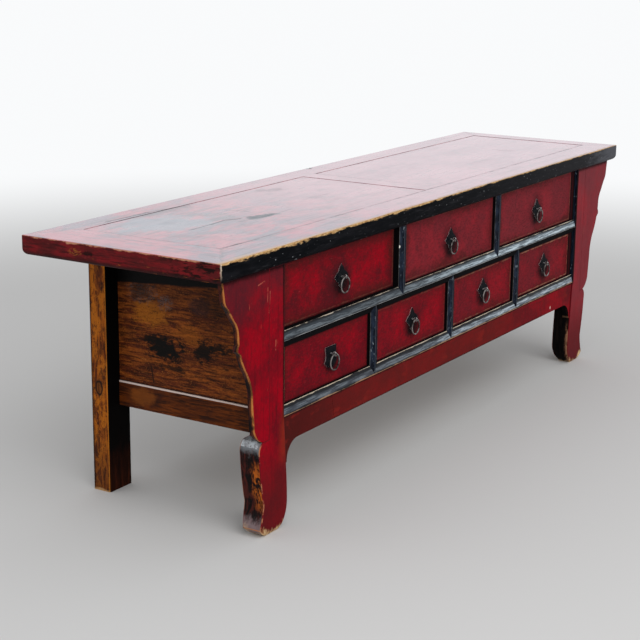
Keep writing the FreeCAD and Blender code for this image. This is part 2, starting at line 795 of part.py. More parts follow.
def pull(name, x, eye_z, front_y, square):
    """Plate, staple and ring; returns the staple, which also bores the drawer front."""
    plate_front = front_y - S.plate_thickness
    eye_y = plate_front - S.eye_clearance - eye_radius - S.eye_wire / 2
    eye = set_up(f"{name}_eye", staple_eye, (0, 1, 0), x, eye_y, eye_z)
    shank = doc.addObject("Part::Cylinder", f"{name}_shank")
    shank.Placement = FreeCAD.Placement(FreeCAD.Vector(), FreeCAD.Rotation(FreeCAD.Vector(1, 0, 0), -90))
    bind(shank, "Radius", S.shank_diameter / 2)
    clench_y = front_y + S.drawer_front_thickness
    shank_y = eye_y + eye_radius
    bind(shank, "Height", clench_y + S.clench_thickness - shank_y)
    place(shank, x, shank_y, eye_z)
    clench = board(f"{name}_clench", (x - S.clench_length / 2, x + S.clench_length / 2),
                   (clench_y, clench_y + S.clench_thickness),
                   (eye_z - S.shank_diameter / 2, eye_z + S.shank_diameter / 2))
    staple = fuse(f"{name}_staple", eye, shank, clench)
    if square:
        foot_z = eye_z - S.square_plate_height * SQUARE_PLATE_EYE
        corner = (x - S.square_plate_width / 2, plate_front, foot_z)
        blank = profile(f"{name}_plate_blank", "front", straight_topped(), corner, S.plate_thickness)
    else:
        half = S.plate_size / 2
        corner = (x - half, plate_front, eye_z - half)
        blank = profile(f"{name}_plate_blank", "front", caltrop(half), corner, S.plate_thickness)
    plate = cut(f"{name}_plate_bored", blank, shank)
    node(f"{name}_pull_plate", group(f"{name}_plate_and_staple", plate, staple))
    node(f"{name}_pull_ring", set_up(f"{name}_ring", loose_ring, (1, 0, 0), x, eye_y, eye_z - ring_radius))
    return shank


def drawer(name, x, bay_width, floor, head, pull_rise, setback=S.drawer_setback, square=False):
    """A drawer centred on x; the one with the square plate has its pull a little aside."""
    half = bay_width / 2 - S.drawer_side_play
    low = floor + S.drawer_floor_play
    front_y = face + setback
    box_front = front_y + S.drawer_front_thickness
    box_back = back_rail_front - S.drawer_back_clearance
    side_top = head - S.drawer_side_drop
    bottom_low = low + S.drawer_bottom_rise
    pull_x = x + S.odd_pull_offset if square else x
    shank = pull(name, pull_x, (floor + head) / 2 + pull_rise, front_y, square)
    front_board = board(f"{name}_front_board", (x - half, x + half), (front_y, box_front),
                        (low, head - S.drawer_head_play))
    node(f"{name}_front", cut(f"{name}_front_bored", front_board, shank))
    inner = half - S.drawer_board
    node(f"{name}_box", group(
        f"{name}_boards",
        board(f"{name}_left_side", (x - half, x - inner), (box_front, box_back), (low, side_top)),
        board(f"{name}_right_side", (x + inner, x + half), (box_front, box_back), (low, side_top)),
        board(f"{name}_back", (x - inner, x + inner), (box_back - S.drawer_board, box_back),
              (bottom_low, side_top)),
        board(f"{name}_bottom", (x - inner, x + inner), (box_front, box_back - S.drawer_board),
              (bottom_low, bottom_low + S.drawer_bottom_thickness))))


upper_bay = upper_pitch - S.divider_width
lower_bay = lower_pitch - S.divider_width
for index, side in enumerate(("left", "centre", "right")):
    drawer(f"upper_{side}_drawer", upper_pitch * (index - 1), upper_bay, upper_floor, under,
           -S.upper_pull_drop, S.deep_drawer_setback if side == "left" else S.drawer_setback)
for index, side in enumerate(("far_left", "mid_left", "mid_right", "far_right")):
    drawer(f"lower_{side}_drawer", lower_pitch * (index - 1.5), lower_bay, lower_floor, lower_head,
           S.lower_pull_rise, square=index == 0)


# Build, check and write one file for each piece

doc.recompute()
faults = [piece.Label for piece in doc.Objects if {"Invalid", "Error"} & set(piece.State)]
faults += [piece.Label for piece in nodes if piece.Shape.isNull() or not piece.Shape.isValid()]
if faults:
    raise RuntimeError("these pieces failed: " + ", ".join(faults))
os.makedirs("parts", exist_ok=True)
for piece in nodes:
    piece.Shape.exportStep(f"parts/{piece.Label}.step")
    box = piece.Shape.BoundBox
    print(f"{piece.Label}: {len(piece.Shape.Solids)} solid(s), {piece.Shape.Volume / 1000:.1f} cm3, "
          f"x {box.XMin:.1f} to {box.XMax:.1f}, y {box.YMin:.1f} to {box.YMax:.1f}, "
          f"z {box.ZMin:.1f} to {box.ZMax:.1f}")
print(len(nodes), "pieces")
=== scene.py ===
import functools
import json
import math
import bpy
from mathutils import Matrix, Vector


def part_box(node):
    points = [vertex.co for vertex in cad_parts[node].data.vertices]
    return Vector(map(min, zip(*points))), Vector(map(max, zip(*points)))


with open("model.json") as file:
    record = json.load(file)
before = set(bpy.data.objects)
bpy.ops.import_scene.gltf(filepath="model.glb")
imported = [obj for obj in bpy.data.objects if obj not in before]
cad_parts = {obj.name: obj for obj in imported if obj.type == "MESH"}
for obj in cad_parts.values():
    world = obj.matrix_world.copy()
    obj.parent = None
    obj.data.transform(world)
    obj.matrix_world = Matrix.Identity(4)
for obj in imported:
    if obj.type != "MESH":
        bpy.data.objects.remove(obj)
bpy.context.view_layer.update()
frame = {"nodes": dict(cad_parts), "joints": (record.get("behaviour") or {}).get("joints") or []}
nodes = frame["nodes"]
scene = bpy.context.scene
scene.view_settings.view_transform = "Standard"

# Camera at the photograph's place: a square picture, so the lens width holds for both sides
AZIMUTH, ELEVATION, ROLL = (math.radians(angle) for angle in (-58.0265, 14.3997, 0.5538))
CAMERA_PLACE = (-2.93858, -1.70256, 1.09856)
LENS, SENSOR = 87.34, 36

cam_data = bpy.data.cameras.new("camera")
cam_data.lens = LENS
cam_data.sensor_width = SENSOR
cam = bpy.data.objects.new("camera", cam_data)
bpy.context.collection.objects.link(cam)
level = Vector((math.cos(AZIMUTH), math.sin(AZIMUTH), 0))
forward = Vector((-math.sin(AZIMUTH) * math.cos(ELEVATION),
                  math.cos(AZIMUTH) * math.cos(ELEVATION), -math.sin(ELEVATION)))
above = level.cross(forward)
right = level * math.cos(ROLL) + above * math.sin(ROLL)
up = above * math.cos(ROLL) - level * math.sin(ROLL)
turn = Matrix((right, up, -forward)).transposed()
cam.matrix_world = Matrix.Translation(CAMERA_PLACE) @ turn.to_4x4()
scene.camera = cam


# Places on the cabinet, in millimetres of the part's own frame

def span(name):
    """A node's lowest and highest corners in millimetres."""
    return [corner * 1000 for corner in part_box(name)]


# Top: a slab with a framed, panelled surface
HALF_LENGTH, HALF_DEPTH, TOP = span("top_right_end_rail")[1]
SLAB_FOOT = span("top_front_rail")[0].z
LEFT_SEAM = span("top_left_end_rail")[1].x
RIGHT_SEAM = span("top_right_end_rail")[0].x
CENTRE_SEAM = span("top_centre_rail")[1].x
FRONT_SEAM = span("top_front_rail")[1].y
BACK_SEAM = span("top_back_rail")[0].y
# Front legs: the spandrels meet their outer sides and stand on the shoulders of their feet
LEG_FRONT = span("left_spandrel")[0].y
LEG_OUTER = -span("left_spandrel")[1].x
LEG_WIDTH = 50
LEG_INNER = LEG_OUTER - LEG_WIDTH
SHOULDER = span("left_spandrel")[0].z
# Drawer frame: the upper dividers' points seat on the middle rail's crest
RAIL_TOP = span("middle_rail")[1].z
RAIL_CREST = span("upper_left_divider")[0].z
LOWER_RAIL_FOOT, LOWER_RAIL_TOP = (corner.z for corner in span("lower_rail"))
DIVIDERS = ("upper_left_divider", "upper_right_divider", "lower_left_divider",
            "lower_centre_divider", "lower_right_divider")
APRON_FOOT, APRON_TOP = (corner.z for corner in span("apron"))
APRON_END = span("apron")[1].x
# Ends and back
END_PANEL = span("left_end_panel")[0].x
END_RAIL, END_RAIL_TOP = span("left_end_rail")[0].x, span("left_end_rail")[1].z
REAR_LEG_FRONT, REAR_LEG_BACK = (corner.y for corner in span("rear_left_leg"))
BACK_LOWER_TOP = span("back_lower_rail")[1].z
BACK_MIDDLE_FOOT, BACK_MIDDLE_TOP = (corner.z for corner in span("back_middle_rail"))


# Material building: lengths are millimetres

class Wire:
    """A number, vector or colour that runs through a material's nodes."""

    def __init__(self, graph, socket):
        self.graph = graph
        self.socket = socket

    def __add__(self, other):
        return self.graph.math("ADD", self, other)

    def __sub__(self, other):
        return self.graph.math("SUBTRACT", self, other)

    def __rsub__(self, other):
        return self.graph.math("SUBTRACT", other, self)

    def __mul__(self, other):
        return self.graph.math("MULTIPLY", self, other)

    def __or__(self, other):
        """The larger of the two."""
        return self.graph.math("MAXIMUM", self, other)

    def __abs__(self):
        return self.graph.math("ABSOLUTE", self)

    def sway(self, width):
        """A number of 0 to 1 turned into an offset to both sides of 0, so wide in all."""
        return (self - 0.5) * width


class Graph:
    """One material's nodes around its Principled shader."""

    def __init__(self, name, specular, metallic=0, coat=0, coat_roughness=0.1, coat_ior=1.5):
        self.material = bpy.data.materials.new(name)
        self.material.use_nodes = True
        self.tree = self.material.node_tree
        self.shader = self.tree.nodes["Principled BSDF"]
        self.colour = None
        for socket, value in (("Specular IOR Level", specular), ("Metallic", metallic),
                              ("Coat Weight", coat), ("Coat Roughness", coat_roughness),
                              ("Coat IOR", coat_ior)):
            self.feed(self.shader.inputs[socket], value)
        coords = self.add("TexCoord")
        self.place = self.vector("SCALE", Wire(self, coords.outputs["Object"]), scale=1000)
        self.x, self.y, self.z = (Wire(self, socket) for socket in
                                  self.add("SeparateXYZ", {0: self.place}).outputs)

    def add(self, kind, feeds=None, **settings):
        made = self.tree.nodes.new("ShaderNode" + kind)
        for name, value in settings.items():
            setattr(made, name, value)
        for socket, value in (feeds or {}).items():
            self.feed(made.inputs[socket], value)
        return made

    def feed(self, socket, value):
        if isinstance(value, Wire):
            self.tree.links.new(value.socket, socket)
        elif socket.type == "RGBA":
            socket.default_value = (*value, 1)
        else:
            socket.default_value = value

    def math(self, operation, a, b=0, clamp=False):
        made = self.add("Math", {0: a, 1: b}, operation=operation, use_clamp=clamp)
        return Wire(self, made.outputs[0])

    def vector(self, operation, a, b=None, c=None, scale=None):
        made = self.add("VectorMath", {0: a}, operation=operation)
        for index, value in ((1, b), (2, c), (3, scale)):
            if value is not None:
                self.feed(made.inputs[index], value)
        number = operation in ("LENGTH", "DISTANCE", "DOT_PRODUCT")
        return Wire(self, made.outputs["Value" if number else "Vector"])

    def most(self, numbers):
        """The largest of several numbers."""
        return functools.reduce(lambda a, b: a | b, numbers)

    def least(self, numbers):
        """The smallest of several numbers."""
        return functools.reduce(lambda a, b: self.math("MINIMUM", a, b), numbers)

    def smooth(self, value, low, high):
        """0 below low and 1 above high, or the other way round where low is the larger."""
        made = self.add("MapRange", {"Value": value, "From Min": low, "From Max": high},
                        interpolation_type="SMOOTHSTEP")
        return Wire(self, made.outputs["Result"])

    def noise(self, size, detail=3, roughness=0.55, distortion=0, seed=0):
        """Noise from 0 to 1 whose clouds are about the given size along X, Y and Z."""
        sizes = size if isinstance(size, tuple) else (size, size, size)
        at = self.vector("MULTIPLY_ADD", self.place, tuple(1 / s for s in sizes),
                         (seed, seed * 1.7 + 5, seed * 2.3 + 9))
        made = self.add("TexNoise", {"Vector": at, "Scale": 1, "Detail": detail,
                                     "Roughness": roughness, "Distortion": distortion})
        return Wire(self, made.outputs["Fac"])

    def mix(self, share, first, second):
        made = self.add("Mix", {0: share, 6: first, 7: second}, data_type="RGBA")
        return Wire(self, made.outputs[2])

    def paint(self, share, colour):
        """Lays a share of a colour over the material's colour so far."""
        self.colour = self.mix(share, self.colour, colour)

    def blend(self, share, first, second):
        """A number between two others."""
        made = self.add("Mix", {0: share, 2: first, 3: second}, data_type="FLOAT")
        return Wire(self, made.outputs[0])

    def spot(self, centre, radii, ragged=0, grain=12, soft=0.5):
        """1 in an ellipsoid round a centre and 0 outside it, with a ragged rim."""
        away = self.vector("SUBTRACT", self.place, centre)
        away = self.vector("DIVIDE", away, radii)
        gap = self.vector("LENGTH", away)
        if ragged:
            # Each place has a rim of its own
            seed = (centre[0] + centre[1] * 1.3 + centre[2] * 0.7) * 0.13
            gap = gap + self.noise(grain, 5, 0.68, seed=seed).sway(ragged)
        return self.smooth(gap, 1, 1 - soft)

    def streak(self, start, end, width, fray=None, core=0.35):
        """1 along a line's core and 0 beyond its width; fray, in widths, makes its rim ragged."""
        along = Vector(end) - Vector(start)
        here = self.vector("SUBTRACT", self.place, start)
        share = self.vector("DOT_PRODUCT", here, tuple(along / along.length_squared))
        share = self.math("MULTIPLY", share, 1, clamp=True)
        foot = self.add("VectorMath", {0: tuple(along), 3: share}, operation="SCALE")
        gap = self.vector("DISTANCE", here, Wire(self, foot.outputs["Vector"]))
        if fray is not None:
            gap = gap + fray * width
        return self.smooth(gap, width, width * core)

    def finish(self, roughness, height=None, coat=None):
        """Feeds the shader; height is in millimetres, and coat is the gloss that wear has left."""
        self.feed(self.shader.inputs["Base Color"], self.colour)
        self.feed(self.shader.inputs["Roughness"], roughness)
        if coat is not None:
            self.feed(self.shader.inputs["Coat Weight"], coat)
        if height is not None:
            bump = self.add("Bump", {"Height": height, "Distance": 0.001, "Strength": 1})
            self.tree.links.new(bump.outputs["Normal"], self.shader.inputs["Normal"])
        return self.material


# Stage: a pale floor that runs out into a white room

# The room shows brighter than it lights; the floor fades into it over distances in mm
FLOOR_GREY = (0.62, 0.615, 0.61)
ROOM_WHITE = (0.95, 0.96, 0.97)
FADE_START, FADE_END = 1500, 3800
ROOM_LIGHT, ROOM_SHOWN = 0.72, 1

bpy.ops.mesh.primitive_plane_add(size=60, location=(0, 0, 0))
floor = bpy.context.object
floor.name = "floor"
g = Graph("pale_floor", specular=0)
g.colour = FLOOR_GREY
g.finish(0.8)
away = g.vector("LENGTH", g.vector("MULTIPLY", g.place, (1, 1, 0)))
path = g.add("LightPath")
seen = g.most(Wire(g, path.outputs[f"Is {ray} Ray"])
              for ray in ("Camera", "Glossy", "Transmission"))
white = g.add("Emission", {"Color": ROOM_WHITE, "Strength": 1})
far = g.add("MixShader", {0: g.smooth(away, FADE_START, FADE_END) * seen})
g.tree.links.new(g.shader.outputs[0], far.inputs[1])
g.tree.links.new(white.outputs[0], far.inputs[2])
g.tree.links.new(far.outputs[0], g.tree.nodes["Material Output"].inputs["Surface"])
floor.data.materials.append(g.material)

world = bpy.data.worlds.new("room")
scene.world = world
world.use_nodes = True
room = world.node_tree
path = room.nodes.new("ShaderNodeLightPath")
shown = path.outputs["Is Camera Ray"]
for ray in ("Glossy", "Transmission"):
    larger = room.nodes.new("ShaderNodeMath")
    larger.operation = "MAXIMUM"
    room.links.new(shown, larger.inputs[0])
    room.links.new(path.outputs[f"Is {ray} Ray"], larger.inputs[1])
    shown = larger.outputs[0]
strength = room.nodes.new("ShaderNodeMapRange")
strength.inputs["To Min"].default_value = ROOM_LIGHT
strength.inputs["To Max"].default_value = ROOM_SHOWN
room.links.new(shown, strength.inputs["Value"])
back = room.nodes["Background"]
back.inputs["Color"].default_value = (*ROOM_WHITE, 1)
room.links.new(strength.outputs["Result"], back.inputs["Strength"])

KEY_PLACE, KEY_AIM = Vector((-2.2, -3.6, 2.6)), Vector((0, 0, 0.3))
KEY_POWER, KEY_SIZE = 142, 4.6

light = bpy.data.lights.new("key", "AREA")
light.energy = KEY_POWER
light.size = KEY_SIZE
key = bpy.data.objects.new("key", light)
key.location = KEY_PLACE
key.rotation_euler = (KEY_AIM - KEY_PLACE).to_track_quat("-Z", "Y").to_euler()
key.visible_glossy = False
bpy.context.collection.objects.link(key)


# Dressing

def dress(name, *rules):
    """Gives each face of a CAD node the first material whose test it passes."""
    piece = nodes[name]
    piece.data.materials.clear()
    for material, _ in rules:
        piece.data.materials.append(material)
    for face in piece.data.polygons:
        for index, (_, test) in enumerate(rules):
            if test is None or test(face.normal, face.center * 1000):
                face.material_index = index
                break


# Doubled points lie closer than the gap, in metres
WELD_GAP = 0.00002
FLAT_ANGLE, SHARP_ANGLE = math.radians(0.5), math.radians(35)
EDGE_SEGMENTS = 2
RING_SUBDIVISIONS = 2
# Least share of a normal along the axis that its face is taken to look along
SQUARELY, ROUGHLY = 0.6, 0.5


def weld_smooth(piece):
    """Joins doubled points, so that modifiers see whole surfaces, and shades them smooth."""
    piece.modifiers.new("weld", "WELD").merge_threshold = WELD_GAP
    for face in piece.data.polygons:
        face.use_smooth = True


def soften(name, width, worn=None):
    """Rounds a node's sharp edges by a width in mm; the rounding may take a worn material."""
    piece = nodes[name]
    weld_smooth(piece)
    flat = piece.modifiers.new("flat", "DECIMATE")
    flat.decimate_type = "DISSOLVE"
    flat.angle_limit = FLAT_ANGLE
    flat.delimit = {"MATERIAL"}
    edge = piece.modifiers.new("edge", "BEVEL")
    edge.width = width / 1000
    edge.segments = EDGE_SEGMENTS
    edge.limit_method = "ANGLE"
    edge.angle_limit = SHARP_ANGLE
    if worn is not None:
        piece.data.materials.append(worn)
        edge.material = len(piece.data.materials) - 1
    piece.modifiers.new("normals", "WEIGHTED_NORMAL")


def facing(axis, least=SQUARELY):
    """A test for faces whose normal points along an axis, such as -Y, by more than the least."""
    index = "XYZ".index(axis[1])
    sign = -1 if axis[0] == "-" else 1
    return lambda normal, centre: normal[index] * sign > least


def inward(normal, centre):
    """A test for faces that look along X towards the middle of the cabinet."""
    return normal.x * math.copysign(1, centre.x) < -SQUARELY


def shoulder_top(normal, centre):
    """A test for the sloping tops of the feet's shoulders."""
    return normal.z > 0.45 and centre.z < SHOULDER + 14


def upper_bevel(normal, centre):
    """A test for the rails' front bevels that look up."""
    return normal.y < -ROUGHLY and normal.z > 0.02


def right_bevel(normal, centre):
    """A test for the dividers' front bevels that look right, away from the light."""
    return normal.y < -ROUGHLY and normal.x > 0.1


# Colours

CRIMSON = (0.255, 0.0018, 0.0085)
MAROON = (0.125, 0.0035, 0.0085)
# Near-black for soot, and for painted shadow under the slab, under the lower rail and under the
# pulls
SOOT_AND_SHADOW = (0.007, 0.0035, 0.004)
PALE = (0.62, 0.50, 0.38)
PITCH = (0.005, 0.003, 0.0025)


# Top: faded red lacquer, greyed in patches, under a worn wax gloss; dirt lies in its frame's joints

# Marks on the top: start, end, width and strength
TOP_SEAMS = (
    ((LEFT_SEAM, FRONT_SEAM), (LEFT_SEAM, BACK_SEAM), 4.5, 0.7),
    ((CENTRE_SEAM, -60), (CENTRE_SEAM, BACK_SEAM), 4.5, 0.9),
    ((CENTRE_SEAM, FRONT_SEAM), (CENTRE_SEAM, -60), 4, 0.5),
    ((LEFT_SEAM, FRONT_SEAM + 4), (-670, FRONT_SEAM - 2), 5.5, 1),
    ((-670, FRONT_SEAM), (RIGHT_SEAM, FRONT_SEAM), 4.5, 0.8),
    ((-HALF_LENGTH, -HALF_DEPTH), (LEFT_SEAM, FRONT_SEAM), 5, 0.45),
    ((HALF_LENGTH, -HALF_DEPTH), (RIGHT_SEAM, FRONT_SEAM), 5, 0.35),
    ((-HALF_LENGTH, HALF_DEPTH), (LEFT_SEAM, BACK_SEAM), 5, 0.35),
    ((HALF_LENGTH, HALF_DEPTH), (RIGHT_SEAM, BACK_SEAM), 5, 0.35))
TOP_STAINS = (
    ((-506, -30), (-446, -38), 15, 1), ((-500, -14), (-470, -34), 13, 0.9),
    ((-545, -28), (-534, -32), 10, 0.6), ((-560, 18), (-510, 20), 18, 0.5),
    ((-545, 88), (-508, 52), 26, 0.45), ((-600, 162), (-480, 150), 20, 0.5),
    ((-240, 138), (-196, 114), 20, 0.4), ((-690, -40), (-640, -60), 20, 0.3),
    ((-400, -60), (-300, -90), 18, 0.22), ((-740, 30), (-700, -90), 18, 0.25),
    ((-250, 20), (-225, -36), 24, 0.22))
TOP_CRACKS = (
    ((-700, 175), (-569, 172), 4.5, 0.9), ((-569, 172), (-462, 155), 4, 0.6),
    ((-671, -2), (-608, -1), 3.6, 0.7), ((-608, -1), (-553, 3), 4, 0.85),
    ((-553, 3), (-524, -12), 5, 0.85), ((-464, 67), (-452, 19), 3.6, 0.6),
    ((614, 4), (622, -50), 5, 0.45), ((596, -20), (634, -24), 4, 0.3),
    ((-252, 4), (-190, -2), 4.5, 0.35), ((-268, -50), (-206, -58), 4.5, 0.3),
    ((-470, -40), (-380, -36), 4, 0.4))


def strongest(g, marks, fray=None):
    """The strongest of the top's marks at each place."""
    return g.most(g.streak((*start, TOP), (*end, TOP), width, fray) * strength
                  for start, end, width, strength in marks)


def top_lacquer(name, along):
    """The top, its grain along an axis; few noises, because a heavier shader renders black."""
    g = Graph(name, specular=0.15, coat=1, coat_roughness=0.10, coat_ior=1.8)
    g.shader.inputs["Sheen Weight"].default_value = 0.52
    g.shader.inputs["Sheen Roughness"].default_value = 0.3
    g.shader.inputs["Sheen Tint"].default_value = (0.85, 0.89, 1, 1)
    long_x = along == "x"
    cloud = g.noise((170, 100, 300), 5, 0.62, seed=3)
    dapple = g.noise((34, 26, 40) if long_x else (26, 34, 40), 5, 0.7, 0.6, seed=8)
    grain = g.noise((190, 14, 60) if long_x else (14, 190, 60), 4, 0.6, 0.4, seed=1)
    fine = g.noise((50, 6, 40) if long_x else (6, 50, 40), 4, 0.65, seed=2)
    marble = g.noise((120, 60, 60) if long_x else (60, 120, 60), 6, 0.66, 0.6, seed=5)
    left = g.smooth(g.x + cloud.sway(500), -60, -600)
    g.colour = g.mix(g.smooth(cloud, 0.40, 0.62), (0.53, 0.105, 0.165), (0.42, 0.100, 0.150))
    vein = g.smooth(marble, 0.40, 0.60)
    g.paint(left * 0.8, g.mix(vein, (0.52, 0.105, 0.145), (0.14, 0.160, 0.205)))
    g.paint(g.smooth(dapple, 0.50, 0.68) * 0.5, (0.14, 0.070, 0.085))
    streaky = g.smooth(grain, 0.52, 0.68) * g.blend(left, 0.3, 0.6)
    g.paint(streaky, (0.070, 0.036, 0.046))
    g.paint(g.smooth(fine, 0.56, 0.70) * 0.6, (0.52, 0.22, 0.23))
    patch = g.spot((-645, 74, TOP), (120, 100, 400), 2, (40, 30, 60))
    g.paint(patch * 0.85, g.mix(dapple, (0.27, 0.32, 0.38), (0.10, 0.125, 0.16)))
    fray = g.noise((30, 13, 60), 5, 0.68, seed=6).sway(3.4)
    dark = strongest(g, TOP_STAINS, fray)
    g.paint(dark, (0.020, 0.026, 0.036))
    fray = g.noise((16, 9, 60), 5, 0.68, seed=7).sway(1.6)
    lines = strongest(g, TOP_CRACKS, fray)
    seams = strongest(g, TOP_SEAMS)
    lines = lines | seams * g.smooth(dapple, 0.30, 0.62)
    g.paint(lines * 0.95, (0.020, 0.008, 0.011))
    chip = g.spot((80, HALF_DEPTH - 5, TOP - 3), (11, 9, 40), 0.4, 6, 0.3)
    g.paint(chip, (0.010, 0.009, 0.010))
    front = g.smooth(g.y + dapple.sway(26) + cloud.sway(14),
                     12 - HALF_DEPTH, 2 - HALF_DEPTH)
    g.paint(front * 0.9, (0.46, 0.27, 0.11))
    roughness = g.blend(g.smooth(fine * 0.5 + cloud * 0.5, 0.35, 0.7), 0.26, 0.45)
    height = grain * 0.35 + fine * 0.18 + dapple * 0.2 - lines * 0.9
    dull = g.smooth(dapple, 0.46, 0.66) * g.blend(left, 0.06, 0.45)
    dull = dull | g.smooth(grain, 0.54, 0.70) * g.blend(left, 0.15, 0.3)
    dull = dull | left * g.blend(vein, 0.34, 0.42) | dark * 0.8 | (lines | front * 0.8) | chip
    return g.finish(roughness, height, 1 - dull)


def joint_red():
    """Inner walls of the top's frame: worn red, dark along the left panel's back."""
    g = Graph("top_joint_red", specular=0.05)
    cloud = g.noise((70, 70, 30), 5, 0.65, seed=4)
    g.colour = g.mix(g.smooth(cloud, 0.40, 0.60), (0.50, 0.24, 0.25), (0.15, 0.045, 0.05))
    dirt = g.streak((-700, BACK_SEAM, TOP), (-470, BACK_SEAM, TOP), 40)
    g.paint(dirt * 0.9, (0.012, 0.008, 0.009))
    return g.finish(g.blend(cloud, 0.5, 0.7), cloud * 0.2)


def slab_black():
    """Front edge of the slab: black lacquer, nicked, worn to bare wood along its upper arris."""
    g = Graph("slab_front_black", specular=0.01)
    wear = g.noise((38, 38, 9), 6, 0.7, seed=7)
    cloud = g.noise((60, 40, 12), 4, 0.6, seed=4)
    far = g.smooth(g.x, -420, 150)
    g.colour = g.mix(g.smooth(cloud, 0.45, 0.75), (0.002, 0.0024, 0.0034), (0.008, 0.008, 0.010))
    # Painted sheen: the black front turns paler towards the right end
    g.paint(g.smooth(g.x, -100, 800) * 0.6, (0.022, 0.021, 0.024))
    scuff = g.smooth(g.noise((46, 20, 2.8), 5, 0.7, seed=15), 0.54, 0.70)
    g.paint(scuff * 0.5, (0.030, 0.030, 0.034))
    worn_end = g.smooth(g.x + wear.sway(340), 660, 860)
    g.paint(worn_end * 0.85, (0.088, 0.091, 0.104))
    nick = g.smooth(g.noise((8, 8, 6), 2, 0.5, seed=11) + far * 0.02, 0.69, 0.75)
    g.paint(nick, (0.20, 0.21, 0.22))
    drop = TOP - g.z
    worn_to = wear.sway(g.blend(far, 20, 11)) - g.blend(far, 3.8, 1.5)
    rim = g.smooth(drop + worn_to, 1, -1)
    bare = g.smooth(g.noise((12, 12, 3), 5, 0.7, seed=5), 0.35, 0.65)
    g.paint(rim, g.mix(bare, (0.62, 0.42, 0.20), (0.26, 0.12, 0.04)))
    corner = g.smooth(g.x + HALF_LENGTH + wear.sway(12), 3, 1.2) * g.smooth(drop, 34, 4)
    g.paint(corner * 0.8, PALE)
    roughness = g.blend(rim, g.blend(cloud, 0.30, 0.5), 0.7)
    return g.finish(roughness, cloud * 0.4 - rim * 0.6 - nick * 0.5)


def slab_red():
    """Ends of the slab: dark red with rubbed patches towards the front corner."""
    g = Graph("slab_end_red", specular=0.05)
    cloud = g.noise((40, 50, 14), 5, 0.65, seed=2)
    streaks = g.noise((30, 60, 4), 5, 0.68, seed=9)
    fine = g.noise((10, 14, 5), 4, 0.7, seed=12)
    g.colour = g.mix(g.smooth(cloud, 0.38, 0.62), (0.165, 0.009, 0.012), (0.080, 0.009, 0.010))
    g.paint(g.smooth(streaks, 0.50, 0.68) * 0.75, (0.020, 0.005, 0.005))
    g.paint(g.smooth(fine, 0.56, 0.70) * 0.5, (0.19, 0.028, 0.028))
    front_share = g.smooth(g.y, -20, -170)
    patch = g.smooth(g.noise((26, 30, 11), 6, 0.7, seed=14), 0.50, 0.58) * front_share
    g.paint(patch * 0.92, PITCH)
    low = g.smooth(g.z + streaks.sway(20), SLAB_FOOT + 12, SLAB_FOOT + 4)
    g.paint(low * 0.75, (0.010, 0.004, 0.004))
    squiggle = g.smooth(g.noise((8, 7, 2.6), 4, 0.7, 1, seed=27), 0.48, 0.58)
    scratch = g.spot((-HALF_LENGTH, 97, TOP - 17), (30, 19, 8), 0.8, 8) * squiggle
    g.paint(scratch * 0.6, (0.40, 0.15, 0.025))
    smudge = g.spot((-HALF_LENGTH, 68, TOP - 17), (30, 15, 6), 1.4, 7)
    g.paint(smudge * 0.8, PITCH)
    lines = g.smooth(g.noise((20, 34, 2.4), 3, 0.6, seed=21), 0.66, 0.72)
    lines = lines * g.smooth(g.z, SLAB_FOOT + 19, SLAB_FOOT + 9)
    g.paint(lines * 0.9, (0.50, 0.135, 0.020))
    drop = TOP - g.z
    rim = g.smooth(drop + cloud.sway(14) + fine.sway(8), 2.6, 0.8)
    g.paint(rim, g.mix(fine, (0.56, 0.30, 0.18), (0.30, 0.09, 0.05)))
    corner = g.smooth(g.y + HALF_DEPTH + cloud.sway(12), 3, 1.2) * g.smooth(drop, 34, 4)
    g.paint(corner * 0.8, PALE)
    return g.finish(g.blend(cloud, 0.38, 0.6), cloud * 0.5 + streaks * 0.3)


def lengthwise(along, across, length):
    """Noise sizes for wood whose grain runs along an axis."""
    return tuple(length if axis == along else across for axis in "xyz")


def raw_wood(name, along, light, dark, dirt, joints=()):
    """Bare sawn wood with its grain along an axis, and dirt along joints at the given heights."""
    g = Graph(name, specular=0.15)
    rings = g.noise(lengthwise(along, 13, 330), 4, 0.6, 0.8, seed=1)
    pores = g.noise(lengthwise(along, 1.8, 60), 3, 0.6, seed=2)
    stain = g.noise(120, 4, 0.6, seed=6)
    g.colour = g.mix(g.smooth(rings, 0.35, 0.68), light, dark)
    g.paint(g.smooth(pores, 0.52, 0.75) * 0.6, tuple(c * 0.4 for c in dark))
    g.paint(g.smooth(stain, 0.48, 0.75) * dirt, (0.05, 0.035, 0.025))
    for height in joints:
        line = g.smooth(abs(g.z - height) + stain.sway(8), 9, 1)
        g.paint(line * 0.8, tuple(c * 0.2 for c in dark))
    return g.finish(g.blend(pores, 0.62, 0.85), rings * 0.25 + pores * 0.2)


# Red lacquer and worn wood of the front

def red_paint(g, grain, seed=0, brushed=0.6):
    """Begins a material with crimson lacquer: clouded, rubbed dark along the grain, gritty."""
    cloud = g.noise(85, 5, 0.6, seed=seed + 1)
    blotch = g.noise(24, 6, 0.68, 0.5, seed=seed + 3)
    brush = g.noise(grain, 5, 0.65, seed=seed + 2)
    g.colour = g.mix(g.smooth(cloud, 0.38, 0.64), CRIMSON, MAROON)
    g.paint(g.smooth(brush, 0.50, 0.74) * brushed, (0.060, 0.004, 0.007))
    g.paint(g.smooth(blotch, 0.56, 0.74) * 0.5, (0.050, 0.009, 0.010))
    grit = g.noise((6, 6, 8), 4, 0.7, seed=seed + 7)
    g.paint(g.smooth(grit, 0.50, 0.68) * 0.4, (0.055, 0.008, 0.011))
    g.paint(g.smooth(grit, 0.46, 0.30) * 0.35, (0.33, 0.006, 0.015))
    height = brush * 0.2 + blotch * 0.15 + grit * 0.1
    return cloud, blotch, brush, height


# Scratches on the left front leg: start and end along X and Z, and width
LEG_SCRATCHES = (
    ((-713, 462), (-716, 424), 2), ((-750, 480), (-730, 484), 1.8),
    ((-720, 470), (-721, 440), 1.5), ((-694, 368), (-695, 350), 2.2))


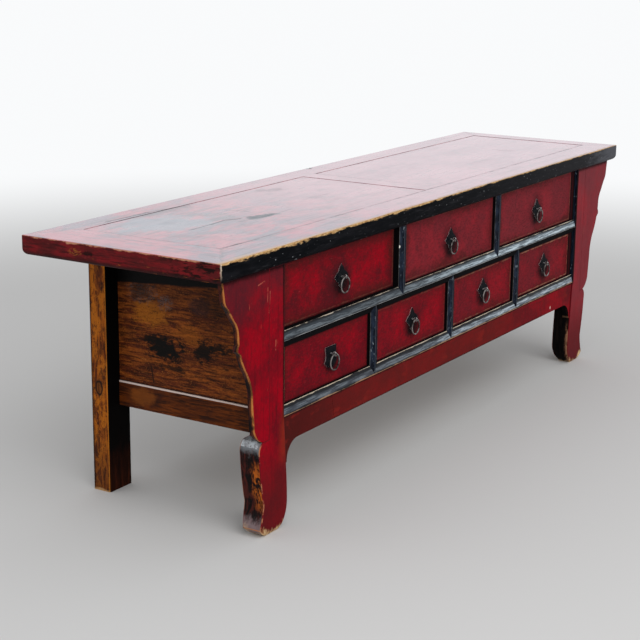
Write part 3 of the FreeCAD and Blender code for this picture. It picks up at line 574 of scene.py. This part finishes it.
def red_front():
    """Front faces of the legs and spandrels."""
    g = Graph("leg_red", specular=0.008)
    cloud, blotch, brush, height = red_paint(g, (9, 9, 120))
    # Painted shade: the legs darken towards the top, under the slab's overhang
    shaded_head = g.smooth(g.z + cloud.sway(160), SLAB_FOOT - 115, SLAB_FOOT - 5)
    g.paint(shaded_head * 0.55, (0.050, 0.014, 0.019))
    # Painted sheen: the red turns paler and pinker towards the right
    far = g.smooth(g.x, 200, 600) * g.blend(blotch, 0.25, 0.75)
    g.paint(far, (0.25, 0.050, 0.060))
    scratch = g.smooth(g.noise((3, 30, 40), 2, 0.5, seed=31), 0.72, 0.76)
    g.paint(scratch * 0.6, (0.42, 0.08, 0.05))
    broken = g.smooth(g.noise(9, 4, 0.7, seed=35), 0.42, 0.56)
    for start, end, width in LEG_SCRATCHES:
        line = g.streak(*((x, LEG_FRONT + 0.5, z) for x, z in (start, end)), width)
        g.paint(line * broken * 0.7, (0.42, 0.10, 0.065))
    side = abs(g.x)
    inner = g.smooth(side + brush.sway(7), LEG_INNER + 8, LEG_INNER + 3)
    inner = inner * g.smooth(g.z, APRON_TOP - 10.5, APRON_TOP + 4.5)
    g.paint(inner * 0.9, SOOT_AND_SHADOW)
    # Painted shadow: a dark line on the legs just under the slab
    shadow_under = g.smooth(g.z + blotch.sway(12), SLAB_FOOT - 11, SLAB_FOOT - 2)
    g.paint(shadow_under * 0.85, SOOT_AND_SHADOW)
    glow = g.smooth(side + blotch.sway(16), LEG_INNER + 26.5, LEG_INNER + 0.5)
    glow = glow * g.smooth(g.z + cloud.sway(60), APRON_TOP + 24.5, APRON_TOP - 10.5)
    glow = glow * g.smooth(g.x, 100, -100)
    g.paint(glow * g.smooth(g.z, 110, 150) * 0.4, (0.26, 0.036, 0.012))
    foot = g.smooth(g.z + brush.sway(80), 200, 60)
    g.paint(foot * 0.7, (0.072, 0.009, 0.010))
    worn = g.noise((12, 12, 26), 6, 0.7, seed=17)
    toe = g.smooth(side, LEG_OUTER - 3.5, LEG_OUTER + 19.5)
    toe = toe | g.smooth(side, LEG_INNER + 19.5, LEG_INNER - 3.5)
    sole = g.smooth(g.z + worn.sway(44) - toe * 16, 8, 1)
    bare = g.mix(g.smooth(blotch, 0.4, 0.6), (0.60, 0.42, 0.22), (0.22, 0.09, 0.04))
    g.paint(sole, bare)
    roughness = g.blend(blotch, 0.36, 0.55)
    return g.finish(roughness, height - sole * 0.5 - scratch * 0.2)


def red_side():
    """Edges and outer sides of the legs and spandrels: worn honey wood under dark grime."""
    g = Graph("leg_side_wood", specular=0.09)
    streaks = g.noise((10, 10, 40), 6, 0.68, 0.8, seed=5)
    cloud = g.noise(26, 6, 0.68, seed=8)
    fine = g.noise((5, 5, 9), 5, 0.7, seed=18)
    g.colour = g.mix(g.smooth(streaks, 0.36, 0.58), (0.060, 0.010, 0.007), (0.004, 0.002, 0.002))
    foot = g.smooth(g.z, SHOULDER + 4, SHOULDER - 4)
    front = g.smooth(g.y + cloud.sway(24), LEG_FRONT + 26.5, LEG_FRONT + 11.5)
    glow = front * g.smooth(g.z + cloud.sway(60), 156, 118)
    glow = glow * g.smooth(g.z + cloud.sway(40), 44, 78)
    glow = glow * foot * g.smooth(streaks + fine.sway(0.5), 0.55, 0.40)
    g.paint(glow, (0.44, 0.105, 0.010))
    dust = g.z + cloud.sway(44) + fine.sway(16)
    dust = g.smooth(dust, SHOULDER - 28, SHOULDER - 10) * foot
    g.paint(dust * 0.75, g.mix(fine, (0.34, 0.38, 0.41), (0.06, 0.055, 0.06)))
    rubbed = g.smooth(g.noise((20, 20, 30), 5, 0.7, seed=28), 0.40, 0.52)
    near = g.y + cloud.sway(7)
    above = g.smooth(g.z, SHOULDER - 8, SHOULDER)
    brown = g.smooth(near, LEG_FRONT + 10.5, LEG_FRONT + 6) * above
    g.paint(brown, g.mix(rubbed, (0.014, 0.005, 0.004), (0.10, 0.024, 0.007)))
    arris = g.smooth(near, LEG_FRONT + 4.9, LEG_FRONT + 3.1) * above
    bare = g.mix(fine, (0.62, 0.27, 0.075), (0.36, 0.085, 0.014))
    g.paint(arris * (rubbed * 0.75 + 0.25), bare)
    worn = g.noise((10, 10, 22), 6, 0.7, seed=17)
    rub = g.smooth(g.z + worn.sway(56), 42, 22)
    g.paint(rub * 0.85, g.mix(cloud, (0.30, 0.235, 0.25), (0.11, 0.060, 0.055)))
    heel = g.smooth(g.y + worn.sway(26), LEG_FRONT + 22.5, LEG_FRONT + 36.5)
    heel = heel * g.smooth(g.z + worn.sway(40), 30, 12)
    sole = g.smooth(g.z + worn.sway(44), 12, 3) | heel * 0.8
    g.paint(sole, g.mix(fine, (0.66, 0.50, 0.32), (0.34, 0.19, 0.09)))
    roughness = g.blend(rub | arris, 0.24, 0.6)
    return g.finish(roughness, streaks * 0.5 + fine * 0.2 - sole * 0.4)


def leg_inside():
    """Inner sides of the front legs: blue-black beside the drawers, rubbed bare down the feet."""
    g = Graph("leg_inner_black", specular=0.02)
    worn = g.noise((8, 8, 24), 6, 0.72, seed=19)
    streaks = g.noise((7, 7, 60), 5, 0.65, seed=5)
    g.colour = g.mix(g.smooth(streaks, 0.4, 0.7), (0.0025, 0.002, 0.0022), (0.008, 0.005, 0.0045))
    beside = g.smooth(g.z, APRON_TOP - 10.5, APRON_TOP + 4.5)
    blue = g.mix(g.smooth(streaks, 0.4, 0.66), (0.003, 0.005, 0.010), (0.015, 0.024, 0.041))
    g.paint(beside, blue)
    fleck = g.smooth(g.noise((6, 6, 11), 3, 0.6, seed=9), 0.60, 0.70)
    g.paint(fleck * beside * 0.7, (0.14, 0.165, 0.19))
    rub = g.smooth(g.y + worn.sway(40), LEG_FRONT + 11.5, LEG_FRONT + 5.5)
    rub = rub * g.smooth(g.z + worn.sway(60), 120, 85)
    g.paint(rub * g.smooth(worn, 0.42, 0.54), (0.32, 0.15, 0.085))
    sole = g.smooth(g.z + worn.sway(30), 8, 2)
    g.paint(sole * 0.8, (0.30, 0.20, 0.12))
    return g.finish(g.blend(worn, 0.35, 0.65), streaks * 0.3 - rub * 0.3)


def shoulder_dust_and_sheen():
    """Tops of the feet's shoulders, grey with wear and dust and with a painted reflection of the
    bright room above.
    """
    g = Graph("shoulder_dust_and_sheen", specular=0.3)
    cloud = g.noise((14, 14, 14), 6, 0.72, seed=3)
    fine = g.noise((6, 6, 6), 4, 0.7, seed=8)
    # Grey partly dust and wear, partly a painted reflection of the bright room
    g.colour = g.mix(g.smooth(cloud, 0.42, 0.58), (0.46, 0.50, 0.53), (0.15, 0.14, 0.15))
    g.paint(g.smooth(fine, 0.50, 0.64) * 0.7, (0.070, 0.060, 0.062))
    low = g.z + cloud.sway(34) + fine.sway(12)
    low = g.smooth(low, SHOULDER - 12, SHOULDER - 26)
    g.paint(low, PITCH)
    return g.finish(g.blend(cloud, 0.28, 0.55), cloud * 0.8)


def leg_arris():
    """The legs' rounded edges: bare in broken lengths down the feet, dark beside the drawers."""
    g = Graph("leg_arris", specular=0.05)
    rub = g.noise((18, 18, 22), 6, 0.7, seed=3)
    side = abs(g.x)
    g.colour = g.mix(rub, (0.16, 0.003, 0.008), (0.08, 0.005, 0.008))
    inner = g.smooth(side, LEG_INNER + 4.5, LEG_INNER + 1.5)
    g.paint(inner * g.smooth(g.z, APRON_TOP - 15.5, APRON_TOP + 4.5), SOOT_AND_SHADOW)
    outer = g.smooth(side, LEG_INNER + 24.5, LEG_INNER + 39.5)
    outer = outer * g.smooth(g.z, SHOULDER - 2, SHOULDER - 8)
    g.paint(outer * g.smooth(rub, 0.47, 0.56) * 0.8, (0.42, 0.17, 0.085))
    toe = g.smooth(g.z + rub.sway(70), 26, 6) * g.smooth(rub, 0.40, 0.52)
    g.paint(toe, (0.54, 0.38, 0.20))
    return g.finish(g.blend(rub, 0.45, 0.7), rub * 0.3)


def apron_red():
    """The apron's front: browner than the legs, dark at the left, with painted shadow along its top
    under the rail and soot along its hem.
    """
    g = Graph("apron_red", specular=0.015)
    cloud, blotch, _, height = red_paint(g, (110, 8, 8), 20)
    rich = g.smooth(g.x + cloud.sway(200), 180, 480)
    g.paint(g.blend(rich, 0.7, 0.15), (0.092, 0.011, 0.008))
    near = g.smooth(g.x + cloud.sway(260), -330, -640)
    g.paint(near * 0.6, (0.026, 0.006, 0.005))
    bright = g.smooth(g.noise((60, 20, 30), 4, 0.6, seed=33), 0.55, 0.7)
    g.paint(bright * 0.5, (0.22, 0.014, 0.010))
    # Painted shadow under the lower rail's crest, along the apron's top
    shaded_head = g.smooth(g.z + blotch.sway(9), APRON_TOP - 5.5, APRON_TOP - 1)
    g.paint(shaded_head * 0.8, SOOT_AND_SHADOW)
    hem = g.smooth(g.z + blotch.sway(6), APRON_FOOT + 4, APRON_FOOT + 0.6)
    hem = hem * g.smooth(abs(g.x), APRON_END + 63, APRON_END - 17)
    g.paint(hem * 0.7, SOOT_AND_SHADOW)
    chip = g.spot((535, -206, 176), (4, 40, 5), 0.5, 4)
    g.paint(chip, (0.62, 0.40, 0.34))
    return g.finish(g.blend(blotch, 0.38, 0.58), height)


def drawer_red(name, eye, low, high, grimy, sheen_veil, edged, dim):
    """A drawer front: crimson under a painted sheen, grimy towards its edges and round its pull,
    whose eye is given, with a stain and painted shadow under the pull.
    """
    g = Graph(name, specular=0.008)
    cloud, blotch, _, height = red_paint(g, (16, 9, 26), 40 + low.x * 0.01, 0.25)
    # Painted sheen: a pale veil of reflected light over the red
    g.paint(sheen_veil, (0.205, 0.032, 0.041))
    clouded = g.smooth(cloud + blotch.sway(0.6), 0.30, 0.60)
    g.paint(clouded * dim, (0.045, 0.008, 0.010))
    rim = g.least((g.x - low.x, high.x - g.x, g.z - low.z, high.z - g.z))
    grime = g.smooth(rim + cloud.sway(100) + blotch.sway(56), 28, -6)
    g.paint(grime * grimy, (0.040, 0.010, 0.009))
    arris = g.smooth(rim + blotch.sway(4), 3, 1)
    g.paint(arris * 0.6, SOOT_AND_SHADOW)
    bare = g.smooth(abs(rim - 4) + blotch.sway(8), 1.6, 0.4)
    g.paint(bare * edged, (0.40, 0.20, 0.12))
    halo = g.spot((eye.x, eye.y, eye.z - 4), (52, 200, 52), 0.9, 24, 0.75)
    g.paint(halo * grimy, (0.024, 0.007, 0.009))
    # A dark stain where the ring strikes the front, with the ring's painted shadow
    ring_stain_and_shadow = g.spot((eye.x + 4, eye.y, eye.z - 15), (40, 200, 33), 0.5, 14, 0.6)
    g.paint(ring_stain_and_shadow * 0.9, SOOT_AND_SHADOW)
    # Painted shadow of the pull plate, below its lower end
    shadow_under = g.spot((eye.x + 1, eye.y, eye.z - 21), (15, 200, 15), 0.3, 8, 0.4)
    g.paint(shadow_under * 0.95, (0.005, 0.003, 0.004))
    weave = g.noise((9, 9, 4), 3, 0.7, seed=71)
    g.paint(g.smooth(weave, 0.46, 0.64) * 0.36, (0.045, 0.010, 0.012))
    g.paint(g.smooth(weave, 0.46, 0.30) * 0.2, (0.32, 0.020, 0.030))
    specks = g.smooth(g.noise(4.6, 2, 0.5, seed=51), 0.68, 0.75)
    g.paint(specks * 0.6, (0.020, 0.006, 0.006))
    scratch = g.smooth(g.noise((22, 30, 3), 2, 0.5, seed=61), 0.72, 0.76)
    g.paint(scratch * 0.35, (0.36, 0.05, 0.045))
    return g.finish(g.blend(blotch, 0.34, 0.52), height - scratch * 0.15)


# Black frame

def rail_lacquer(name, seed):
    """Begins a material of the rails' upper bevels, which shine more towards the right, in gloss
    and in painted reflection.
    """
    g = Graph(name, specular=0.12, coat=1, coat_roughness=0.18, coat_ior=2)
    cloud = g.noise((38, 20, 10), 6, 0.68, seed=seed + 3)
    fine = g.noise((46, 16, 2.6), 5, 0.72, seed=seed + 6)
    right = g.smooth(g.x + cloud.sway(200), -330, 330)
    return g, cloud, fine, right


def rail_sheen():
    """The middle rail's upper bevel: black, with a painted grey reflection and painted glints along
    its middle, its arrises bare.
    """
    g, cloud, fine, right = rail_lacquer("middle_rail_sheen", 0)
    middle = abs(g.z - (RAIL_CREST + 8.1)) + cloud.sway(7)
    middle = g.smooth(middle, 7, 4)
    low_half = g.smooth(g.z + cloud.sway(6), RAIL_TOP - 6, RAIL_TOP - 13)
    glint = g.smooth(fine + low_half.sway(0.10), 0.44, 0.60)
    # Painted reflection: the bevel greys as if it mirrored the bright room, more so towards the
    # right
    reflection_tone = g.mix(right, (0.016, 0.023, 0.031), (0.085, 0.112, 0.135))
    g.colour = g.mix(middle, (0.003, 0.004, 0.006), reflection_tone)
    # Painted glints along the bevel's middle
    g.paint(middle * glint * g.blend(right, 0.12, 0.85), (0.46, 0.57, 0.64))
    top_arris = g.z + cloud.sway(9) + fine.sway(5)
    top_arris = g.smooth(top_arris, RAIL_TOP - 1.6, RAIL_TOP - 0.4)
    g.paint(top_arris * 0.9, g.mix(fine, (0.40, 0.29, 0.17), (0.55, 0.50, 0.44)))
    low_arris = g.smooth(g.z + fine.sway(6), RAIL_CREST + 1.5, RAIL_CREST + 0.3)
    g.paint(low_arris * 0.6, (0.34, 0.35, 0.35))
    from_middle = g.z - (RAIL_CREST + 9.2)
    height = cloud * 0.4 + fine * 0.25 + from_middle * from_middle * 0.012
    gloss = middle * (glint * 0.5 + 0.1) * g.blend(right, 0.4, 1)
    return g.finish(g.blend(cloud, 0.28, 0.46), height, gloss)


def lower_sheen():
    """The lower rail's hollow bevel: dark above, with a painted grey reflection and painted glints
    below, bare along both arrises.
    """
    g, cloud, fine, right = rail_lacquer("lower_rail_sheen", 10)
    middle = abs(g.z - (LOWER_RAIL_FOOT + 8)) + cloud.sway(9)
    middle = g.smooth(middle, 6.6, 2.5)
    glint = g.smooth(fine, 0.44, 0.62)
    # Painted reflection: the bevel greys as if it mirrored the bright room, more so towards the
    # right
    reflection_tone = g.mix(right, (0.024, 0.029, 0.040), (0.085, 0.105, 0.130))
    g.colour = g.mix(middle, (0.003, 0.004, 0.006), reflection_tone)
    # Painted glints along the bevel's middle
    g.paint(middle * glint * g.blend(right, 0.16, 0.85), (0.46, 0.55, 0.62))
    top_arris = g.smooth(g.z + cloud.sway(8), LOWER_RAIL_TOP - 1.9, LOWER_RAIL_TOP - 0.9)
    g.paint(top_arris * 0.9, g.mix(fine, (0.44, 0.33, 0.20), (0.60, 0.54, 0.46)))
    low_arris = g.smooth(g.z + cloud.sway(8), LOWER_RAIL_FOOT + 2.3, LOWER_RAIL_FOOT + 0.9)
    g.paint(low_arris * 0.8, (0.34, 0.18, 0.09))
    height = cloud * 0.4 + fine * 0.25
    gloss = middle * (glint * 0.5 + 0.1) * g.blend(right, 0.4, 1)
    return g.finish(g.blend(cloud, 0.28, 0.46), height, gloss)


def black_matt():
    """Recesses and undersides of the black frame."""
    g = Graph("black_matt", specular=0.02)
    cloud = g.noise(30, 4, 0.6, seed=3)
    g.colour = g.mix(cloud, (0.002, 0.002, 0.0026), (0.005, 0.0045, 0.005))
    return g.finish(g.blend(cloud, 0.6, 0.8), cloud * 0.2)


def divider_black(name, specular, light):
    """A bevel of the dividers: blue-black, with light grey specks, a little rubbed at its sides;
    light scales these as painted light, lower on bevels in shade.
    """
    g = Graph(name, specular=specular)
    cloud = g.noise((14, 14, 40), 5, 0.68, seed=5)
    fleck = g.smooth(g.noise((6, 6, 11), 3, 0.6, seed=9), 0.60, 0.70)
    blue = g.smooth(cloud, 0.4, 0.66) * light
    g.colour = g.mix(blue, (0.002, 0.0035, 0.008), (0.014, 0.022, 0.040))
    g.paint(fleck * light * 0.8, (0.15, 0.175, 0.20))
    middles = (sum(corner.x for corner in span(divider)) / 2 for divider in DIVIDERS)
    middle = g.least(abs(g.x - place) for place in middles)
    worn = g.smooth(middle + cloud.sway(7), 13.2, 14.4)
    g.paint(worn * light * 0.3, (0.20, 0.18, 0.15))
    crest = g.smooth(middle + cloud.sway(3), 1.1, 0.3)
    g.paint(crest * light * 0.4, (0.13, 0.15, 0.17))
    chip = g.spot((-236, -199, 461), (4, 30, 4), 0.3, 4)
    g.paint(chip, (0.72, 0.68, 0.62))
    return g.finish(g.blend(cloud, 0.28, 0.45), cloud * 0.3)


# Honey-coloured wood of the ends and rear legs

def honey_wood(name, along, seed, light, middle):
    """Begins a material: figured, dirty wood with its grain along an axis."""
    g = Graph(name, specular=0.08)
    figure = g.noise(lengthwise(along, 13, 120), 6, 0.66, 1, seed=seed)
    pores = g.noise(lengthwise(along, 4.2, 44), 5, 0.7, 0.3, seed=seed + 2)
    cloud = g.noise(65, 5, 0.65, seed=seed + 4)
    mark = g.noise((11, 11, 11), 4, 0.7, 1.5, seed=seed + 6)
    g.colour = g.mix(g.smooth(figure, 0.40, 0.60), light, middle)
    g.paint(g.smooth(pores, 0.46, 0.62) * 0.85, (0.016, 0.005, 0.0025))
    g.paint(g.smooth(cloud, 0.50, 0.70) * 0.6, (0.030, 0.009, 0.005))
    g.paint(g.smooth(mark, 0.64, 0.72) * 0.75, PITCH)
    return g, figure, pores, cloud


# Dark blots on the left end panel: place along Y and Z, radii along Y and Z, strength
PANEL_BLOTS = (
    ((62, 304), (52, 28), 1), ((84, 318), (36, 16), 0.9), ((-30, 316), (26, 32), 0.95),
    ((-62, 322), (34, 12), 0.9), ((45, 268), (38, 8), 0.85), ((118, 412), (34, 26), 0.6),
    ((-60, 400), (70, 22), 0.5))


def end_panel_wood():
    """The end panels: scuffed, with lighter patches, grey scuffs and dark blots on the left one."""
    g, figure, pores, cloud = honey_wood(
        "end_panel_wood", "y", 3, (0.290, 0.072, 0.011), (0.095, 0.019, 0.006))

    def on_panel(place, radii, ragged, grain):
        return g.spot((END_PANEL, *place), (60, *radii), ragged, grain)

    scuff = g.noise((8, 18, 4.6), 6, 0.74, 1, seed=41)
    crackle = g.noise((6, 6, 4.4), 5, 0.75, 2, seed=47)
    bright = on_panel((98, 370), (52, 32), 1.8, (20, 20, 9))
    g.paint(bright * 0.7, (0.40, 0.125, 0.010))
    bright = on_panel((5, 340), (40, 24), 1.8, (20, 20, 9))
    g.paint(bright * 0.5, (0.36, 0.100, 0.010))
    shade = g.smooth(g.z + cloud.sway(110) - g.y * 0.16, 330, 440)
    g.paint(shade * 0.5, (0.030, 0.009, 0.005))
    g.paint(g.smooth(scuff, 0.54, 0.66) * 0.8, (0.012, 0.004, 0.003))
    g.paint(g.smooth(scuff, 0.42, 0.32) * 0.5, (0.42, 0.135, 0.030))
    g.paint(g.smooth(crackle, 0.54, 0.62) * 0.65, (0.012, 0.005, 0.004))
    g.paint(g.smooth(crackle, 0.42, 0.34) * 0.6, (0.42, 0.140, 0.025))
    grey = on_panel((116, 408), (44, 26), 1.2, 10) | on_panel((62, 394), (24, 18), 1.2, 10)
    grey = grey * g.smooth(crackle, 0.48, 0.56)
    g.paint(grey * 0.55, (0.130, 0.115, 0.115))
    g.paint(on_panel((-20, 398), (34, 22), 1.4, 14) * 0.6, (0.040, 0.017, 0.018))
    for place, radii, strength in PANEL_BLOTS:
        blot = on_panel(place, radii, 3, (20, 16, 8))
        g.paint(blot * strength, (0.004, 0.003, 0.0025))
    split = g.streak((END_PANEL, 97, 262), (END_PANEL, 92, 232), 2.6)
    g.paint(split * 0.8, (0.012, 0.006, 0.004))
    # Painted shadow: a dark band across the panel's upper part, under the slab's overhang
    shadow_band = g.z + figure.sway(8) + g.y * 0.077
    shadow_band = g.smooth(shadow_band, SLAB_FOOT - 73, SLAB_FOOT - 68)
    g.paint(shadow_band, (0.0025, 0.002, 0.002))
    foot = g.smooth(g.z + figure.sway(6), END_RAIL_TOP + 4, END_RAIL_TOP + 1)
    g.paint(foot * 0.8, PITCH)
    return g.finish(g.blend(pores, 0.42, 0.62), figure * 0.5 + pores * 0.4 + scuff * 0.4)


def end_rail_wood():
    """The end rails, with a lighter patch and a pale upper arris."""
    g, figure, pores, cloud = honey_wood(
        "end_rail_wood", "y", 9, (0.140, 0.031, 0.004), (0.055, 0.012, 0.003))
    patch = g.spot((END_RAIL, 118, 200), (60, 40, 22), 0.9, 20)
    g.paint(patch * 0.5, (0.25, 0.070, 0.010))
    arris = g.smooth(g.z + cloud.sway(1.6), END_RAIL_TOP - 3.6, END_RAIL_TOP - 2.8)
    g.paint(arris, (0.66, 0.53, 0.48))
    return g.finish(g.blend(pores, 0.42, 0.62), figure * 0.4 + pores * 0.3)


# On the left rear leg's outer side
KNOT = (-705, 198, 213)


def rear_leg_wood():
    """The rear legs: golden, specked and grimy, with a knot on the left one's outer side."""
    g, figure, pores, cloud = honey_wood(
        "rear_leg_wood", "z", 14, (0.37, 0.093, 0.006), (0.110, 0.022, 0.004))
    gold = g.noise((26, 26, 46), 5, 0.7, 0.6, seed=45)
    g.paint(g.smooth(gold, 0.48, 0.56) * 0.7, (0.45, 0.130, 0.008))
    speck = g.noise((5, 5, 8), 5, 0.75, 1.5, seed=46)
    g.paint(g.smooth(speck, 0.56, 0.63) * 0.75, (0.016, 0.006, 0.004))
    knot = g.spot((KNOT[0], KNOT[1], KNOT[2] + 1), (60, 13, 22), 0.7, 9)
    g.paint(knot * 0.7, (0.060, 0.020, 0.006))
    ring = g.spot(KNOT, (60, 10, 17), 0.6, 9, 0.2) * (1 - g.spot(KNOT, (60, 7, 13), 0.6, 9, 0.3))
    g.paint(ring * 0.9, PITCH)
    foot = g.smooth(g.z + cloud.sway(160), 170, 10)
    g.paint(foot * 0.6, (0.035, 0.012, 0.006))
    grimy = g.smooth(g.noise((20, 20, 34), 6, 0.7, seed=44), 0.54, 0.64)
    g.paint(grimy * 0.75, (0.022, 0.008, 0.005))
    back = g.smooth(g.y + figure.sway(8), REAR_LEG_BACK - 8.5, REAR_LEG_BACK - 3.5)
    g.paint(back * 0.75, PITCH)
    arris = g.smooth(g.y + figure.sway(4), REAR_LEG_FRONT + 3.5, REAR_LEG_FRONT + 1.5)
    g.paint(arris * 0.7, (0.50, 0.17, 0.015))
    sole = g.smooth(g.z + cloud.sway(24), 6, 1)
    g.paint(sole * 0.8, (0.46, 0.27, 0.12))
    return g.finish(g.blend(pores, 0.40, 0.62), figure * 0.4 + pores * 0.3)


def rear_leg_front():
    """The rear legs' front faces, black but for their feet."""
    g, figure, pores, cloud = honey_wood(
        "rear_leg_front", "z", 24, (0.050, 0.011, 0.005), (0.018, 0.005, 0.003))
    g.shader.inputs["Specular IOR Level"].default_value = 0.015
    black = g.smooth(g.z + cloud.sway(160), -30, 110)
    g.paint(black, (0.0025, 0.002, 0.002))
    return g.finish(g.blend(pores, 0.5, 0.7), figure * 0.4)


# Iron

def plate_iron():
    """Fronts of the pull plates, black and pitted."""
    g = Graph("plate_iron", specular=0.02)
    cloud = g.noise(8, 4, 0.65, seed=4)
    pits = g.noise(2.4, 3, 0.6, seed=6)
    g.colour = g.mix(g.smooth(cloud, 0.4, 0.68), (0.0025, 0.0032, 0.0048), (0.008, 0.009, 0.011))
    return g.finish(g.blend(pits, 0.34, 0.58), cloud * 0.25 + pits * 0.12)


def rim_iron():
    """Edges of the plates, rubbed bright in places."""
    g = Graph("rim_iron", specular=0.5, metallic=0.9)
    rub = g.noise(9, 5, 0.7, seed=14)
    g.colour = g.mix(g.smooth(rub, 0.33, 0.47), (0.03, 0.03, 0.032), (0.84, 0.83, 0.82))
    return g.finish(g.blend(rub, 0.5, 0.3), rub * 0.2)


def ring_iron():
    """The rings, polished by hands in places."""
    g = Graph("ring_iron", specular=0.4, metallic=0.85)
    rub = g.noise(15, 4, 0.6, seed=24)
    g.colour = g.mix(g.smooth(rub, 0.38, 0.62), (0.026, 0.021, 0.019), (0.27, 0.25, 0.24))
    return g.finish(g.blend(rub, 0.42, 0.22), rub * 0.3)


# Top

top_x = top_lacquer("top_lacquer_long", "x")
top_y = top_lacquer("top_lacquer_short", "y")
front_black = slab_black()
end_red = slab_red()
joint = joint_red()
underside = raw_wood("underside_wood", "x", (0.10, 0.055, 0.03), (0.04, 0.02, 0.012), 0.7)
upward = facing("+Z", 0.75)
for name in ("top_left_panel", "top_right_panel"):
    dress(name, (top_x, upward), (underside, None))
for name, lacquer, outer_edge, out, back in (
        ("top_front_rail", top_x, front_black, "-Y", "+Y"),
        ("top_back_rail", top_x, end_red, "+Y", "-Y"),
        ("top_left_end_rail", top_y, end_red, "-X", "+X"),
        ("top_right_end_rail", top_y, end_red, "+X", "-X")):
    dress(name, (lacquer, upward), (outer_edge, facing(out, 0.12)), (joint, facing(back)),
          (underside, None))
dress("top_centre_rail", (top_y, upward), (joint, facing("-X")), (joint, facing("+X")),
      (underside, None))

# Legs, spandrels and apron

leg_front = red_front()
leg_side = red_side()
dusty_sheen = shoulder_dust_and_sheen()
leg_edge = leg_arris()
leg_inner = leg_inside()
inside_wood = raw_wood("inside_wood", "z", (0.13, 0.07, 0.035), (0.05, 0.024, 0.012), 0.6)
for side in ("left", "right"):
    dress(f"front_{side}_leg", (leg_front, facing("-Y")), (leg_inner, inward),
          (dusty_sheen, shoulder_top), (inside_wood, facing("+Y")), (leg_side, None))
    dress(f"{side}_spandrel", (leg_front, facing("-Y")), (inside_wood, facing("+Y")),
          (leg_front, inward), (leg_side, None))
    soften(f"front_{side}_leg", 1.6, leg_edge)
    soften(f"{side}_spandrel", 0.3)

apron = apron_red()
for name in ("apron", "left_apron_bracket", "right_apron_bracket"):
    dress(name, (apron, facing("-Y")), (leg_inner, facing("-Z", 0.1)), (inside_wood, None))
    soften(name, 0.8)

# Drawer frame

rail_upper = rail_sheen()
rail_lower = lower_sheen()
matt = black_matt()
divider = divider_black("divider_black", 0.06, 1)
# The copy for bevels that look away from the light: less painted blue, specks and rubbing, as
# painted shade
divider_shaded = divider_black("divider_shaded_black", 0.012, 0.45)
for name, sheen in (("middle_rail", rail_upper), ("lower_rail", rail_lower)):
    dress(name, (sheen, upper_bevel), (matt, None))
    soften(name, 0.5)
for name in DIVIDERS:
    dress(name, (divider_shaded, right_bevel), (divider, facing("-Y", ROUGHLY)), (matt, None))
    soften(name, 0.5)

# Ends, rear legs and back

panel_wood = end_panel_wood()
rail_wood = end_rail_wood()
leg_wood = rear_leg_wood()
leg_black = rear_leg_front()
leg_back = raw_wood("rear_leg_back_wood", "z", (0.17, 0.085, 0.038), (0.070, 0.032, 0.015), 0.6)
for side, out in (("left", "-X"), ("right", "+X")):
    dress(f"{side}_end_panel", (panel_wood, facing(out)), (inside_wood, None))
    dress(f"{side}_end_rail", (rail_wood, facing(out, 0.3)), (rail_wood, facing("+Z", ROUGHLY)),
          (inside_wood, None))
    dress(f"rear_{side}_leg", (leg_black, facing("-Y")), (leg_back, facing("+Y")),
          (leg_wood, None))
    soften(f"{side}_end_rail", 2.6)
    soften(f"rear_{side}_leg", 1.2)

back_wood = raw_wood("back_wood", "x", (0.23, 0.135, 0.07), (0.100, 0.055, 0.030), 0.6,
                     (BACK_LOWER_TOP, BACK_MIDDLE_FOOT, BACK_MIDDLE_TOP, SLAB_FOOT - 2))
back_rail_wood = raw_wood("back_rail_wood", "x", (0.135, 0.068, 0.032), (0.055, 0.027, 0.014), 0.7)
for name, wood in (("back_panels", back_wood), ("back_middle_rail", back_rail_wood),
                   ("back_lower_rail", back_rail_wood)):
    dress(name, (wood, None))
    soften(name, 1.2)
for name in ("drawer_runners", "top_battens"):
    dress(name, (inside_wood, None))

# Drawers with their pulls

plate = plate_iron()
rim = rim_iron()
ring_metal = ring_iron()
box_wood = raw_wood("drawer_wood", "y", (0.36, 0.24, 0.13), (0.20, 0.12, 0.06), 0.35)
joints = {joint["name"]: joint for joint in frame["joints"]}
# How grimy each drawer front is, how much painted sheen lies on it, how far its edges are rubbed,
# and how dim its clouds are
WEAR_AND_SHEEN = {
    "upper_left": (0.8, 0, 0.1, 0.5),
    "upper_centre": (0.75, 0.45, 0.1, 0.15),
    "upper_right": (0.75, 0.55, 0.2, 0.12),
    "lower_far_left": (0.5, 0, 0, 0.1),
    "lower_mid_left": (0.55, 0.05, 0.1, 0.1),
    "lower_mid_right": (0.7, 0.2, 0.35, 0.1),
    "lower_far_right": (0.7, 0.3, 0.6, 0.05)}
for name, (grimy, sheen_veil, edged, dim) in WEAR_AND_SHEEN.items():
    eye = Vector(joints[f"{name}_ring_hinge"]["pos_m"]) * 1000
    low, high = span(f"{name}_drawer_front")
    red = drawer_red(f"{name}_drawer_red", eye, low, high, grimy, sheen_veil, edged, dim)
    dress(f"{name}_drawer_front", (red, facing("-Y")), (box_wood, None))
    soften(f"{name}_drawer_front", 0.8)
    dress(f"{name}_drawer_box", (box_wood, None))
    dress(f"{name}_drawer_pull_plate", (plate, facing("-Y")), (rim, None))
    soften(f"{name}_drawer_pull_plate", 1, rim)
    dress(f"{name}_drawer_pull_ring", (ring_metal, None))
    ring = nodes[f"{name}_drawer_pull_ring"]
    weld_smooth(ring)
    rounding = ring.modifiers.new("round", "SUBSURF")
    rounding.levels = rounding.render_levels = RING_SUBDIVISIONS
